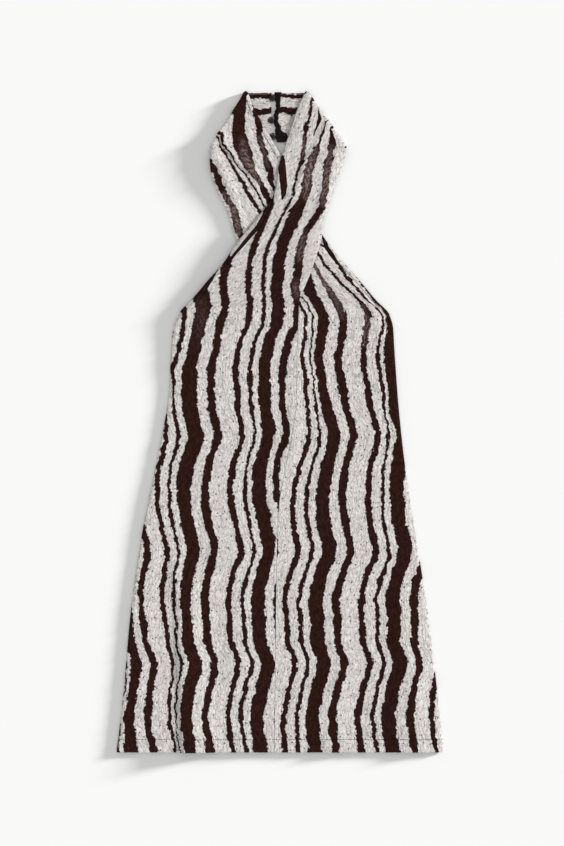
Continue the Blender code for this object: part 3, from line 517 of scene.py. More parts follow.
def front_sheet(stations, folds, side, band_end, pattern, shares, marks, stretch_and_sheen):
    """Fine middle sheet of a front half with its cloth coordinates, row by row."""
    values = np.array([row[1:] for row in stations])
    corner_a = plan(values[:, 0], values[:, 1])
    corner_b = plan(values[:, 2], values[:, 3])
    steps = np.linalg.norm(
        np.diff(corner_a, axis=0), axis=1) + np.linalg.norm(np.diff(corner_b, axis=0), axis=1,
    )
    knots = np.concatenate([[0.0], np.cumsum(steps / 2.0)])
    underarm = knots[[row[0] for row in stations].index("underarm")]
    seam_top = stations[[row[0] for row in stations].index("underarm")][4]
    places = np.linspace(0.0, knots[-1], int(knots[-1] / ROW_SPACING) + 1)
    hem_rows = HEM_DEPTH + np.array([-0.0016, -0.0006, 0.0, 0.0006, 0.0016])
    places = places[np.abs(places - HEM_DEPTH) > 0.0022]
    places = np.sort(np.concatenate([places, hem_rows]))
    table = smooth(knots, values, places)
    pattern_at = smooth(knots, np.array(shares), places)
    seam = np.array(CENTRE_SEAM)
    sewn = table[:, 3] <= seam_top + 1e-6
    on_seam = smooth(seam[:, 0], seam[:, 1:2], table[:, 3])[:, 0] + side * GAP / HEM_WIDTH
    b_across = np.where(sewn, on_seam, table[:, 2])
    edge_a = plan(table[:, 0], table[:, 1])
    edge_b = plan(b_across, table[:, 3])
    width = np.linalg.norm(edge_b - edge_a, axis=1)
    distance = np.array([column_distances(w) for w in width])
    share = distance / width[:, None]
    flat = edge_a[:, None, :] + (edge_b - edge_a)[:, None, :] * share[:, :, None]
    x, y = flat[..., 0], flat[..., 1]
    rise, a_low, b_low, b_free = (table[:, k][:, None] for k in (4, 5, 6, 7))
    height = rise + fold_height(folds, x, y)
    height = a_low + (height - a_low) * roll(distance, EDGE_ROLL)
    free = b_low + (height - b_low) * roll(width[:, None] - distance, EDGE_ROLL)
    height = height + (free - height) * b_free
    points = np.stack([x, y, height * MM], axis=-1)
    extra = np.zeros_like(x)
    below_stitch = places[:, None] < HEM_DEPTH
    extra += np.where(below_stitch, HEM_STEP, 0.0)
    extra -= 0.0004 * np.exp(-(((places[:, None] - HEM_DEPTH) / 0.0011) ** 2))
    armhole = (places[:, None] > underarm) & (distance < ARMHOLE_HEM)
    extra = np.where(armhole, ARMHOLE_STEP, extra)
    u = np.zeros_like(x)
    places_of = np.array(pattern, float)[:, None]
    for i in range(len(places)):
        u[i] = smooth(pattern_at[i], places_of, share[i])[:, 0]
    along = np.linalg.norm(np.diff(flat, axis=0), axis=2)
    v = np.concatenate([np.zeros((1, x.shape[1])), np.cumsum(along, axis=0)]) / UNIT
    u = u - sway(v)
    mark = line_field(marks, x, y)[0]
    # paler brown on the stripes: stretched cloth, and in part a painted sheen on the lit fold ridges
    stretch_and_sheen_amount = line_field(stretch_and_sheen, x, y)[1]
    above = places[:, None] > underarm
    edge = np.where(above, distance / UNIT, 99.0)
    stretch = np.abs(np.gradient(u, axis=1) / np.gradient(distance, axis=1)) * UNIT
    arm = np.searchsorted(places, underarm)
    on_strap = x[arm, 0] / UNIT - side * distance / UNIT
    grain = np.where(above, on_strap, x / UNIT - sway(v))
    sheet = {
        "marks": np.stack([mark, stretch_and_sheen_amount], axis=-1),
        "trim": np.stack([edge, np.clip(stretch, 0.25, 2.5)], axis=-1),
        "grain": grain,
        "mark_lines": marks,
        "points": points,
        "outer": WALL / 2.0 + extra,
        "inner": np.full(x.shape, WALL / 2.0),
        "u": u,
        "v": v,
        "sewn": sewn,
        "distance": distance,
        "share": share,
        "band_from": len(places) + TURN_ROWS // 2,
    }
    add_turn(sheet)
    add_band(sheet, band_end)
    return sheet


def extend(sheet, points, outer, inner, u, v, marks):
    rows = len(points)
    trim = np.repeat(sheet["trim"][-1:], rows, axis=0)
    trim[..., 1] = 1.0
    sheet["marks"] = np.concatenate([sheet["marks"], marks])
    sheet["trim"] = np.concatenate([sheet["trim"], trim])
    sheet["grain"] = np.concatenate([sheet["grain"], np.repeat(sheet["grain"][-1:], rows, axis=0)])
    sheet["points"] = np.concatenate([sheet["points"], points])
    sheet["outer"] = np.concatenate([sheet["outer"], outer])
    sheet["inner"] = np.concatenate([sheet["inner"], inner])
    sheet["u"] = np.concatenate([sheet["u"], u])
    sheet["v"] = np.concatenate([sheet["v"], v])
    sheet["sewn"] = np.concatenate([sheet["sewn"], np.zeros(rows, bool)])


def add_turn(sheet):
    """Half round by which the strap turns under at the side of the neck."""
    top = sheet["points"][-1]
    along = (top[-1] - top[0])[:2]
    out = np.array([-along[1], along[0]]) / np.linalg.norm(along)
    if np.dot(out, (top[0] - sheet["points"][-10][0])[:2]) < 0.0:
        out = -out
    radius = (top[:, 2] - REST) / 2.0
    rows = []
    for number in range(1, TURN_ROWS + 1):
        angle = math.pi / 2.0 - math.pi * number / TURN_ROWS
        row = top.copy()
        row[:, :2] += out[None, :] * (radius * math.cos(angle))[:, None]
        row[:, 2] = REST + radius + radius * math.sin(angle)
        rows.append(row)
    points = np.array(rows)
    count = len(points)
    turned = np.arange(1, count + 1)[:, None] * (math.pi * radius / TURN_ROWS / UNIT)[None, :]
    outer = np.repeat(sheet["outer"][-1:], count, axis=0)
    outer[-1] = WALL / 2.0
    inner = np.full(outer.shape, WALL / 2.0)
    u = np.repeat(sheet["u"][-1:], count, axis=0)
    v = sheet["v"][-1][None, :] + turned
    marks = np.zeros(u.shape + (2,))
    marks[..., 0] = line_field(sheet["mark_lines"], points[..., 0], points[..., 1])[0]
    marks[TURN_ROWS // 2 + 1:, :, 0] = -3.0
    extend(sheet, points, outer, inner, u, v, marks)


def add_band(sheet, band_end):
    """Neckband half, flat on the ground, from the turn to the slit."""
    start = sheet["points"][-1]
    top_end = plan(band_end[0], band_end[1])
    foot_end = plan(band_end[2], band_end[3])
    reach = np.linalg.norm((start - start[0])[:, :2], axis=1)
    share = reach / reach[-1]
    end = top_end[None, :] + (foot_end - top_end)[None, :] * share[:, None]
    part = (np.arange(1, BAND_ROWS + 1) / BAND_ROWS)[:, None, None]
    flat = start[None, :, :2] * (1.0 - part) + end[None, :, :] * part
    points = np.concatenate([flat, np.full(flat.shape[:2] + (1,), REST)], axis=2)
    outer = np.full(flat.shape[:2], WALL / 2.0)
    inner = np.where(share * reach[-1] < BAND_HEM, BAND_STEP, 0.0)[None, :] + outer
    u = np.repeat(sheet["u"][-1:], BAND_ROWS, axis=0)
    gone = np.linalg.norm(flat - start[None, :, :2], axis=2) / UNIT
    v = sheet["v"][-1][None, :] + gone
    sheet["band_share"] = share
    marks = np.zeros(u.shape + (2,))
    marks[..., 0] = -3.0
    marks[..., 1] = np.clip(1.6 - sheet["distance"][-1] / BAND_RIM, 0.0, 1.0)[None, :]
    extend(sheet, points, outer, inner, u, v, marks)


def grid_normals(points, side, sewn):
    up = np.gradient(points, axis=0)
    across = np.gradient(points, axis=1)
    normals = np.cross(across, up) * (1.0 if side < 0 else -1.0)
    length = np.linalg.norm(normals, axis=2, keepdims=True)
    normals = normals / np.where(length < 1e-12, 1.0, length)
    for column, weight in ((-1, 1.0), (-2, 0.9), (-3, 0.75), (-4, 0.5)):
        upright = np.array([0.0, 0.0, 1.0])
        mixed = normals[sewn, column] * (1.0 - weight) + upright * weight
        normals[sewn, column] = mixed / np.linalg.norm(mixed, axis=1, keepdims=True)
    return normals


def wall_mesh(name, top, low, layers, flip, second=None, second_from=None):
    """Closed wall between two grids of points. Its UV maps hold the cloth coordinates."""
    rows, columns = top.shape[:2]
    index = np.arange(rows * columns).reshape(rows, columns)
    under = index + rows * columns
    a, b = index[:-1, :-1], index[:-1, 1:]
    c, d = index[1:, 1:], index[1:, :-1]
    upper = np.stack([a, b, c, d], axis=-1).reshape(-1, 4)
    a, b = under[:-1, :-1], under[:-1, 1:]
    c, d = under[1:, 1:], under[1:, :-1]
    lower = np.stack([a, d, c, b], axis=-1).reshape(-1, 4)
    first = np.stack([index[:-1, 0], index[1:, 0], under[1:, 0], under[:-1, 0]], axis=-1)
    last = np.stack([index[1:, -1], index[:-1, -1], under[:-1, -1], under[1:, -1]], axis=-1)
    start = np.stack([index[0, 1:], index[0, :-1], under[0, :-1], under[0, 1:]], axis=-1)
    end = np.stack([index[-1, :-1], index[-1, 1:], under[-1, 1:], under[-1, :-1]], axis=-1)
    faces = np.concatenate([upper, lower, first, last, start, end])
    if flip:
        faces = faces[:, ::-1]
    verts = np.concatenate([top.reshape(-1, 3), low.reshape(-1, 3)])
    mesh = bpy.data.meshes.new(name)
    mesh.from_pydata(verts.tolist(), [], faces.tolist())
    for key, grid in layers.items():
        flat = np.concatenate([grid.reshape(-1, 2)] * 2)
        corner = flat[faces]
        if key == "cloth" and second is not None:
            other = np.concatenate([second.reshape(-1, 2)] * 2)
            row_of = (faces % (rows * columns)) // columns
            beyond = row_of.min(axis=1) >= second_from
            corner[beyond] = other[faces[beyond]]
        layer = mesh.uv_layers.new(name=key)
        layer.data.foreach_set("uv", corner.reshape(-1).astype(np.float32))
    mesh.shade_smooth()
    mesh.set_sharp_from_angle(angle=math.radians(65.0))
    mesh.update()
    return mesh


def put(name, mesh, material, node):
    mesh.materials.append(material)
    item = bpy.data.objects.new(name, mesh)
    bpy.context.scene.collection.objects.link(item)
    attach(item, "root")
    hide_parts(node)
    return item


def make_front(name, node, half, side, seed, material):
    stations, folds, band_end, pattern, shares, marks, stretch_and_sheen = half
    sheet = front_sheet(stations, folds, side, band_end, pattern, shares, marks, stretch_and_sheen)
    points = sheet["points"]
    normals = grid_normals(points, side, sheet["sewn"])
    u, v = sheet["u"], sheet["v"]
    band = np.arange(len(points))[:, None] >= sheet["band_from"]
    share = sheet["band_share"]
    band_u = smooth(BAND_SHARES, np.array(BAND_PATTERN)[:, None], share)[:, 0]
    second_u = np.repeat(band_u[None, :], len(points), axis=0)
    second = np.stack([second_u, v + 37.0 * side], axis=-1)
    pucker = crinkle(u, v, seed) * MM
    band_pucker = crinkle(second_u, v, seed + 20) * MM
    fade = np.clip(np.minimum(np.arange(points.shape[1]), np.arange(points.shape[1])[::-1]) / 6.0, 0.0, 1.0)
    pucker = pucker * fade[None, :]
    band_pucker = band_pucker * fade[None, :]
    outer = sheet["outer"] + np.where(band, 0.0, pucker)
    inner = sheet["inner"] + np.where(band, band_pucker + 0.0002, 0.15 * pucker)
    top = points + normals * outer[..., None]
    low = points - normals * inner[..., None]
    low[..., 2] = np.maximum(low[..., 2], 0.0002)
    top[..., 2] = np.maximum(top[..., 2], 0.0)
    layers = {
        "cloth": np.stack([u, v], axis=-1),
        "grain": np.stack([sheet["grain"], v], axis=-1),
        "marks": sheet["marks"],
        "trim": sheet["trim"],
    }
    mesh = wall_mesh(name, top, low, layers, side > 0, second, sheet["band_from"])
    return put(name, mesh, material, node)


def side_across(stations, up):
    body = np.array([(row[2], row[1]) for row in stations if row[2] <= 0.70])
    return smooth(body[:, 0], body[:, 1:2], up)[:, 0]


def make_back(material):
    """Back panel on the ground, its upper face softly uneven and its underside flat."""
    rows, columns = 150, 90
    up = np.linspace(0.0, BACK_TOP, rows + 1)
    inset = BACK_INSET / (HEM_WIDTH / 2.0)
    left = plan(side_across(LEFT_STATIONS, up) + inset, up)
    right = plan(side_across(RIGHT_STATIONS, up) - inset, up)
    share = np.linspace(0.0, 1.0, columns + 1)
    flat = left[:, None, :] * (1.0 - share[None, :, None]) + right[:, None, :] * share[None, :, None]
    v = (flat[..., 1] / LENGTH + 0.5) * LENGTH / UNIT
    u = flat[..., 0] / UNIT + 280.0 - sway(v)
    pucker = crinkle(u, v, 61) * MM * 0.35
    ones = np.ones(flat.shape[:2])
    top = np.concatenate([flat, (WALL * ones - 0.0002 + 0.5 * pucker)[..., None]], axis=2)
    low = np.concatenate([flat, np.clip(0.0003 + pucker, 0.0, 0.0006)[..., None]], axis=2)
    blank = np.zeros(u.shape)
    layers = {
        "cloth": np.stack([u, v], axis=-1),
        "grain": np.stack([u, v], axis=-1),
        "marks": np.stack([blank - 3.0, blank], axis=-1),
        "trim": np.stack([blank + 99.0, blank + 1.0], axis=-1),
    }
    mesh = wall_mesh("back", top, low, layers, False)
    return put("back", mesh, material, "back_panel")


def make_tape(material):
    """Knitted tape along the slit edge, with lumpy sides, on the form of the solid binding."""
    table = np.array(TAPE[::-1])
    up = np.linspace(table[0, 0], table[-1, 0], TAPE_ROWS + 1)
    left, right, height = smooth(table[:, 0], table[:, 1:], up).T
    share = np.linspace(0.0, 1.0, TAPE_COLUMNS + 1)[None, :]
    start = plan(left, up)
    end = plan(right, up)
    down = np.arange(TAPE_ROWS + 1) * 0.25
    start[:, 0] += (value_noise(down, down * 0.0, 71) - 0.5) * TAPE_LUMP * 2.0
    end[:, 0] += (value_noise(down, down * 0.0 + 9.0, 72) - 0.5) * TAPE_LUMP * 2.0
    flat = start[:, None, :] * (1.0 - share[..., None]) + end[:, None, :] * share[..., None]
    lump = value_noise(flat[..., 0] / 0.0011, flat[..., 1] / 0.0016, 73) - 0.5
    side = np.sin(math.pi * share) ** 0.5
    level = np.repeat((height * MM)[:, None], TAPE_COLUMNS + 1, axis=1)
    top = np.concatenate(
        [flat, (level + TAPE_WALL * 0.5 * side + lump * 0.0005 * side + 0.0001)[..., None]], axis=2,
    )
    low = np.concatenate([flat, (level - TAPE_WALL * 0.5 * side - 0.0001)[..., None]], axis=2)
    mesh = wall_mesh("tape", top, low, {}, False)
    return put("tape", mesh, material, "slit_binding")


class Graph:
    """Short hand for building a material from nodes."""

    def __init__(self, name):
        self.material = bpy.data.materials.new(name)
        self.material.use_nodes = True
        self.tree = self.material.node_tree
        self.shader = self.tree.nodes["Principled BSDF"]

    def node(self, kind, inputs=(), **settings):
        item = self.tree.nodes.new(kind)
        for key, value in settings.items():
            setattr(item, key, value)
        for key, value in dict(inputs).items():
            self.feed(item.inputs[key], value)
        return item

    def feed(self, socket, value):
        if isinstance(value, bpy.types.NodeSocket):
            self.tree.links.new(value, socket)
        else:
            socket.default_value = value

    def math(self, operation, *values):
        item = self.tree.nodes.new("ShaderNodeMath")
        item.operation = operation
        for socket, value in zip(item.inputs, values):
            self.feed(socket, value)
        return item.outputs[0]

    def combine(self, x, y, z=0.0):
        item = self.tree.nodes.new("ShaderNodeCombineXYZ")
        for socket, value in zip(item.inputs, (x, y, z)):
            self.feed(socket, value)
        return item.outputs[0]

    def noise(self, vector, detail=2.0, roughness=0.5, distortion=0.0):
        item = self.node("ShaderNodeTexNoise", {"Scale": 1.0, "Detail": detail})
        item.noise_dimensions = "2D"
        item.inputs["Roughness"].default_value = roughness
        item.inputs["Distortion"].default_value = distortion
        self.tree.links.new(vector, item.inputs["Vector"])
        return item.outputs["Fac"]

    def cells(self, vector, feature="F1", randomness=1.0):
        item = self.node("ShaderNodeTexVoronoi", {"Scale": 1.0})
        item.voronoi_dimensions = "2D"
        item.feature = feature
        item.inputs["Randomness"].default_value = randomness
        self.tree.links.new(vector, item.inputs["Vector"])
        return item.outputs["Distance"]

    def patches(self, vector):
        """A steady value from 0 to 1 over each cell."""
        item = self.node("ShaderNodeTexVoronoi", {"Scale": 1.0})
        item.voronoi_dimensions = "2D"
        self.tree.links.new(vector, item.inputs["Vector"])
        split = self.node("ShaderNodeSeparateColor", {"Color": item.outputs["Color"]})
        return split.outputs[0]

    def ramp(self, fac, stops, interpolation="LINEAR"):
        item = self.tree.nodes.new("ShaderNodeValToRGB")
        item.color_ramp.interpolation = interpolation
        marks = item.color_ramp.elements
        while len(marks) > 1:
            marks.remove(marks[-1])
        for number, (place_at, colour) in enumerate(stops):
            mark = marks[0] if number == 0 else marks.new(place_at)
            mark.position = place_at
            if isinstance(colour, (int, float)):
                colour = (colour, colour, colour)
            mark.color = (colour[0], colour[1], colour[2], 1.0)
        self.tree.links.new(fac, item.inputs["Fac"])
        return item.outputs["Color"]

    def mix(self, factor, first, second, blend="MIX"):
        item = self.tree.nodes.new("ShaderNodeMix")
        item.data_type = "RGBA"
        item.blend_type = blend
        for socket in item.inputs:
            if socket.identifier == "Factor_Float":
                self.feed(socket, factor)
            elif socket.identifier == "A_Color":
                self.feed(socket, first)
            elif socket.identifier == "B_Color":
                self.feed(socket, second)
        for socket in item.outputs:
            if socket.identifier == "Result_Color":
                return socket
        return None

    def bump(self, height, strength, distance, normal=None):
        item = self.node("ShaderNodeBump", {"Strength": strength, "Distance": distance})
        self.tree.links.new(height, item.inputs["Height"])
        if normal is not None:
            self.tree.links.new(normal, item.inputs["Normal"])
        return item.outputs["Normal"]


def srgb(red, green, blue):
    """Colour given in display values 0 to 255, as linear light."""
    values = []
    for value in (red, green, blue):
        share = value / 255.0
        values.append(share / 12.92 if share <= 0.04045 else ((share + 0.055) / 1.055) ** 2.4)
    return tuple(values)


# The stripe repeat in units: centre and width of each dark stripe
REPEAT = 75.0
STRIPES = ((10.0, 14.4), (30.5, 8.0), (55.0, 6.2), (69.0, 4.4))
FIRST_STRIPE = 188.5
STITCH_UP = 12.9
STITCH_IN = 4.0


def stripe_stops(white, edge, brown):
    """Ramp stops over one repeat: pale cloth, a near-black rim, and the brown inside."""
    stops = [(0.0, white)]
    for centre, width in STRIPES:
        low = (centre - width / 2.0) / REPEAT
        high = (centre + width / 2.0) / REPEAT
        soft = 0.25 / REPEAT
        rim = min(1.2, width * 0.26) / REPEAT
        stops += [(low - soft, white), (low + soft, edge), (low + soft + rim, brown)]
        stops += [(high - soft - rim, brown), (high - soft, edge), (high + soft, white)]
    return stops


def cloth_material(name, seed, shade=1.0):
    """Crinkled striped cloth, drawn in the cloth's own coordinates."""
    graph = Graph(name)

    def uv_pair(layer):
        split = graph.tree.nodes.new("ShaderNodeSeparateXYZ")
        source = graph.node("ShaderNodeUVMap", uv_map=layer).outputs["UV"]
        graph.tree.links.new(source, split.inputs[0])
        return split.outputs["X"], split.outputs["Y"]

    u, v = uv_pair("cloth")
    across = uv_pair("grain")[0]
    mark, stretch_and_sheen = uv_pair("marks")
    from_edge, stretch = uv_pair("trim")

    def at(width, height, shift=0.0):
        return graph.combine(
            graph.math("MULTIPLY_ADD", across, 1.0 / width, shift + seed),
            graph.math("MULTIPLY_ADD", v, 1.0 / height, shift),
        )

    def fade(value, low, high):
        item = graph.node("ShaderNodeMapRange", {"Value": value, "From Min": low, "From Max": high})
        item.interpolation_type = "SMOOTHSTEP"
        return item.outputs["Result"]

    def band(value, centre, half, soft):
        away = graph.math("ABSOLUTE", graph.math("SUBTRACT", value, centre))
        return graph.math("SUBTRACT", 1.0, fade(away, half, half + soft))

    # slow drift of the stripes and their stepped edges, in units of true distance
    drift = graph.math("MULTIPLY_ADD", graph.noise(at(24.0, 17.0), 1.0), 2.6, -1.3)
    step = graph.math("MULTIPLY_ADD", graph.noise(at(9.0, 6.5, 3.0), 1.0), 2.8, -1.4)
    jump = graph.math("MULTIPLY_ADD", graph.patches(at(5.0, 6.0, 37.0)), 1.5, -0.75)
    teeth = graph.math("MULTIPLY_ADD", graph.noise(at(3.4, 2.4, 7.0), 1.0, 0.5), 2.6, -1.3)
    jitter = graph.math("ADD", graph.math("ADD", step, jump), graph.math("ADD", teeth, drift))
    moved = graph.math("SUBTRACT", u, graph.math("MULTIPLY", jitter, stretch))
    repeat = graph.math("MULTIPLY_ADD", moved, 1.0 / REPEAT, (10.0 - FIRST_STRIPE) / REPEAT)
    repeat = graph.math("FRACT", repeat)

    # threads and puckers: long upright cells, fine threads, small level creases. The pale tone is drawn
    # darker along the cell lines and creases and lighter on the raised level creases, a painted shade of the
    # crinkle that follows the bump; fibre, blotch and specks are the cloth's own tone
    long_noise = graph.noise(at(2.7, 9.0, 11.0), 1.0, 0.5, 0.4)
    cell_line_and_shade = graph.math("ABSOLUTE", graph.math("SUBTRACT", long_noise, 0.5))
    cell_line_and_shade = fade(cell_line_and_shade, 0.0, 0.075)
    second_noise = graph.noise(at(3.4, 6.4, 41.0), 1.0, 0.5, 0.4)
    second = graph.math("ABSOLUTE", graph.math("SUBTRACT", second_noise, 0.52))
    second = fade(second, 0.0, 0.055)
    fibre = graph.noise(at(1.15, 3.6, 13.0), 2.0, 0.6)
    net = graph.cells(at(4.2, 8.4, 17.0), "DISTANCE_TO_EDGE")
    crease_and_shade = fade(net, 0.0, 0.10)
    level = graph.noise(at(5.0, 1.6, 23.0), 2.0, 0.5)
    blotch = graph.noise(at(9.0, 14.0, 29.0), 2.0, 0.5)
    speck = fade(graph.cells(at(10.5, 12.0, 31.0)), 0.05, 0.08)

    # painted crinkle shade: the cell lines, the crease net and the level creases darken the pale tone where
    # the bump sinks
    tone = graph.math("MULTIPLY_ADD", fibre, 0.60, 0.68)
    tone = graph.math("MULTIPLY", tone, graph.math("MULTIPLY_ADD", cell_line_and_shade, 0.34, 0.70))
    tone = graph.math("MULTIPLY", tone, graph.math("MULTIPLY_ADD", second, 0.26, 0.78))
    tone = graph.math("MULTIPLY", tone, graph.math("MULTIPLY_ADD", crease_and_shade, 0.22, 0.81))
    tone = graph.math("MULTIPLY", tone, graph.math("MULTIPLY_ADD", level, 0.20, 0.91))
    tone = graph.math("MULTIPLY", tone, graph.math("MULTIPLY_ADD", blotch, 0.16, 0.93))
    tone = graph.math("MULTIPLY", tone, graph.math("MULTIPLY_ADD", speck, 0.88, 0.12))

    # sewing: the hem's row of stitches and the lines along the armhole hem
    pitch = graph.math("FRACT", graph.math("MULTIPLY", u, 1.0 / 2.6))
    stitch = graph.math("MULTIPLY", band(v, STITCH_UP, 0.35, 0.35), band(pitch, 0.5, 0.28, 0.12))
    ribs = graph.math(
        "FRACT", graph.math("MULTIPLY_ADD", from_edge, 1.0 / 1.6, graph.math("MULTIPLY", fibre, 0.8)),
    )
    ribs = graph.math(
        "MULTIPLY", band(ribs, 0.5, 0.12, 0.2), fade(from_edge, STITCH_IN + 0.5, STITCH_IN - 0.3),
    )
    seam_line = graph.math("MULTIPLY", band(from_edge, STITCH_IN, 0.25, 0.45), 0.45)
    sewn = graph.math("MAXIMUM", graph.math("MAXIMUM", stitch, seam_line), graph.math("MULTIPLY", ribs, 0.4))
    tone = graph.math("MULTIPLY", tone, graph.math("MULTIPLY_ADD", sewn, -0.6, 1.0))

    white = tuple(shade * c for c in srgb(217, 212, 208))
    edge = srgb(13, 7, 6)
    brown = srgb(42, 20, 16)
    striped = graph.ramp(repeat, stripe_stops(white, edge, brown))
    pale = graph.ramp(repeat, stripe_stops(1.0, 0.0, 0.0))
    # dark lines along folded edges: stripe colour, and on the over strap's V edge in part a painted crease
    # shadow
    depth = graph.math("MULTIPLY_ADD", teeth, 0.35, mark)
    drawn = fade(depth, -0.25, 0.25)
    inside = graph.mix(fade(depth, 0.9, 1.6), edge + (1.0,), brown + (1.0,))
    striped = graph.mix(drawn, striped, inside)
    pale = graph.math("MULTIPLY", pale, graph.math("SUBTRACT", 1.0, drawn))

    lumps = graph.noise(at(3.2, 6.0, 53.0), 2.0, 0.6)
    grain = graph.math("MULTIPLY_ADD", lumps, 2.2, 0.02)
    grain = graph.math("MULTIPLY", grain, graph.math("MULTIPLY_ADD", fibre, 1.1, 0.40))
    tint = graph.mix(pale, graph.combine(grain, grain, grain), graph.combine(tone, tone, tone))
    shown = graph.mix(1.0, striped, tint, "MULTIPLY")

    # where the cloth is stretched the brown lets pale threads through, and the same paler brown is also a
    # painted sheen of light grazing the fold ridges
    fine = graph.noise(at(1.7, 3.4, 59.0), 1.0, 0.6)
    hatch = graph.math("MULTIPLY", fade(fine, 0.44, 0.60), stretch_and_sheen)
    under = graph.math("MULTIPLY", graph.math("SUBTRACT", 1.0, pale), stretch_and_sheen)
    shown = graph.mix(graph.math("MULTIPLY", under, 0.62), shown, srgb(88, 68, 65) + (1.0,))
    hatch = graph.math("MULTIPLY", hatch, graph.math("SUBTRACT", 1.0, pale))
    shown = graph.mix(graph.math("MULTIPLY", hatch, 0.62), shown, srgb(168, 154, 150) + (1.0,))
    graph.tree.links.new(shown, graph.shader.inputs["Base Color"])

    height = graph.math("MULTIPLY", fibre, 0.5)
    height = graph.math("ADD", height, graph.math("MULTIPLY", cell_line_and_shade, 0.40))
    height = graph.math("ADD", height, graph.math("MULTIPLY", second, 0.30))
    height = graph.math("ADD", height, graph.math("MULTIPLY", crease_and_shade, 0.35))
    height = graph.math("ADD", height, graph.math("MULTIPLY", level, 0.45))
    height = graph.math("SUBTRACT", height, graph.math("MULTIPLY", sewn, 0.5))
    normal = graph.bump(height, 0.8, 0.0010)
    graph.tree.links.new(normal, graph.shader.inputs["Normal"])
    graph.shader.inputs["Roughness"].default_value = 0.95
    graph.shader.inputs["Specular IOR Level"].default_value = 0.10
    return graph.material


def binding_material(name):
    """Near-black knitted tape."""
    graph = Graph(name)
    place_of = graph.node("ShaderNodeTexCoord").outputs["Object"]
    spots = graph.node("ShaderNodeTexNoise", {"Vector": place_of, "Scale": 620.0, "Detail": 2.0})
    grain = spots.outputs["Fac"]
    colour = graph.ramp(grain, ((0.42, srgb(9, 6, 6)), (0.60, srgb(26, 20, 19)), (0.74, srgb(74, 66, 62))))
    graph.tree.links.new(colour, graph.shader.inputs["Base Color"])
    normal = graph.bump(grain, 0.8, 0.0008)
    graph.tree.links.new(normal, graph.shader.inputs["Normal"])
    graph.shader.inputs["Roughness"].default_value = 0.9
    graph.shader.inputs["Specular IOR Level"].default_value = 0.1
    return graph.material


def button_material(name):
    """Dark shiny button, a little clouded."""
    graph = Graph(name)
    place_of = graph.node("ShaderNodeTexCoord").outputs["Object"]
    spots = graph.node("ShaderNodeTexNoise", {"Vector": place_of, "Scale": 300.0, "Detail": 1.0})
    cloud = spots.outputs["Fac"]
    colour = graph.ramp(cloud, ((0.3, srgb(10, 7, 7)), (0.8, srgb(30, 22, 21))))
    graph.tree.links.new(colour, graph.shader.inputs["Base Color"])
    graph.shader.inputs["Roughness"].default_value = 0.30
    graph.shader.inputs["Specular IOR Level"].default_value = 0.35
    return graph.material


def floor_material():
    graph = Graph("floor")
    graph.shader.inputs["Base Color"].default_value = (0.93, 0.93, 0.925, 1.0)
    graph.shader.inputs["Roughness"].default_value = 1.0
    graph.shader.inputs["Specular IOR Level"].default_value = 0.0
    return graph.material


def make_floor():
    mesh = bpy.data.meshes.new("floor")
    size = 6.0
    low = -0.0002
    corners = [(-size, -size, low), (size, -size, low), (size, size, low), (-size, size, low)]
    mesh.from_pydata(corners, [], [(0, 1, 2, 3)])
    mesh.materials.append(floor_material())
    item = bpy.data.objects.new("floor", mesh)
    bpy.context.scene.collection.objects.link(item)
    return item


# Light: bearing is counted from +X towards +Y, angles in degrees
AMBIENT = 0.62
KEY_BEARING = 20.0
CLOTH_KEY = ("key on the cloth", 34.0, 14.0, 2.25)
FLOOR_KEY = ("key on the floor", 8.5, 7.0, 8.5)


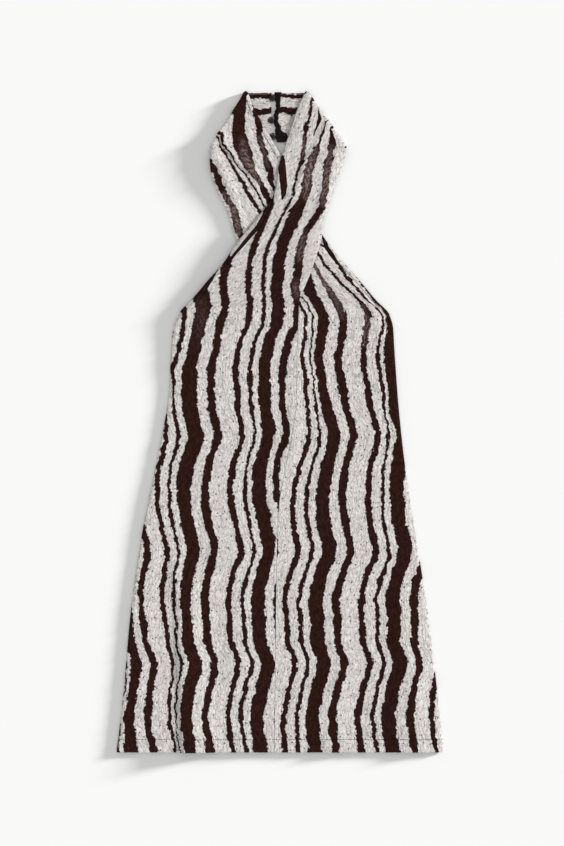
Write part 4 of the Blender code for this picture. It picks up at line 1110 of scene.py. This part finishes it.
def make_key(settings, reached=None, skipped=None):
    """Broad soft light from the right. It can be kept to some objects, or off them."""
    name, height, spread, strength = settings
    data = bpy.data.lights.new(name, "SUN")
    data.energy = strength
    data.angle = math.radians(spread)
    item = bpy.data.objects.new(name, data)
    level = math.cos(math.radians(height))
    towards = Vector((
        -level * math.cos(math.radians(KEY_BEARING)),
        -level * math.sin(math.radians(KEY_BEARING)),
        -math.sin(math.radians(height)),
    ))
    item.rotation_euler = towards.to_track_quat("-Z", "Y").to_euler()
    item.location = (2.0, 0.7, 1.0)
    bpy.context.scene.collection.objects.link(item)
    group = bpy.data.collections.new(name)
    group.objects.link(reached or skipped)
    if skipped is not None:
        group.collection_objects[0].light_linking.link_state = "EXCLUDE"
    item.light_linking.receiver_collection = group


def make_studio(floor):
    """Pale surround and a soft key from the right, lower and longer on the floor than on the cloth."""
    scene = bpy.context.scene
    world = bpy.data.worlds.new("studio")
    world.use_nodes = True
    background = world.node_tree.nodes["Background"]
    background.inputs["Color"].default_value = (1.0, 1.0, 1.0, 1.0)
    background.inputs["Strength"].default_value = AMBIENT
    scene.world = world
    make_key(CLOTH_KEY, skipped=floor)
    make_key(FLOOR_KEY, reached=floor)
    camera = bpy.data.cameras.new("camera")
    camera.lens = 100.0
    camera.sensor_width = 36.0
    camera.clip_end = 50.0
    item = bpy.data.objects.new("camera", camera)
    item.location = (0.00245, -0.0014, 3.29)
    scene.collection.objects.link(item)
    scene.camera = item
    scene.view_settings.view_transform = "Standard"
    scene.view_settings.look = "None"
    scene.view_settings.exposure = 0.0


def dress_node(name, material):
    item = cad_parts[name]
    item.data.materials.clear()
    item.data.materials.append(material)


make_studio(make_floor())

cloth_left = cloth_material("striped cloth left", 0.0)
cloth_right = cloth_material("striped cloth right", 40.0)
cloth_back = cloth_material("striped cloth back", 80.0, 0.97)
over_half = (
    LEFT_STATIONS, LEFT_FOLDS + LEFT_CREASES, LEFT_BAND_END, LEFT_PATTERN, LEFT_SHARES, LEFT_STRIPE_AND_SHADOW_MARKS,
    LEFT_STRETCH_AND_SHEEN,
)
under_half = (
    RIGHT_STATIONS, RIGHT_FOLDS + RIGHT_CREASES, RIGHT_BAND_END, RIGHT_PATTERN, RIGHT_SHARES, RIGHT_MARKS,
    RIGHT_STRETCH_AND_SHEEN,
)
make_front("front_over", "front_left", over_half, -1, 11, cloth_left)
make_front("front_under", "front_right", under_half, 1, 31, cloth_right)
make_back(cloth_back)

tape = binding_material("dark tape")
shine = button_material("dark button")
make_tape(tape)
for node in ("loop_top", "loop_middle", "loop_bottom"):
    dress_node(node, tape)
for node in ("button_top", "button_middle", "button_bottom"):
    dress_node(node, shine)
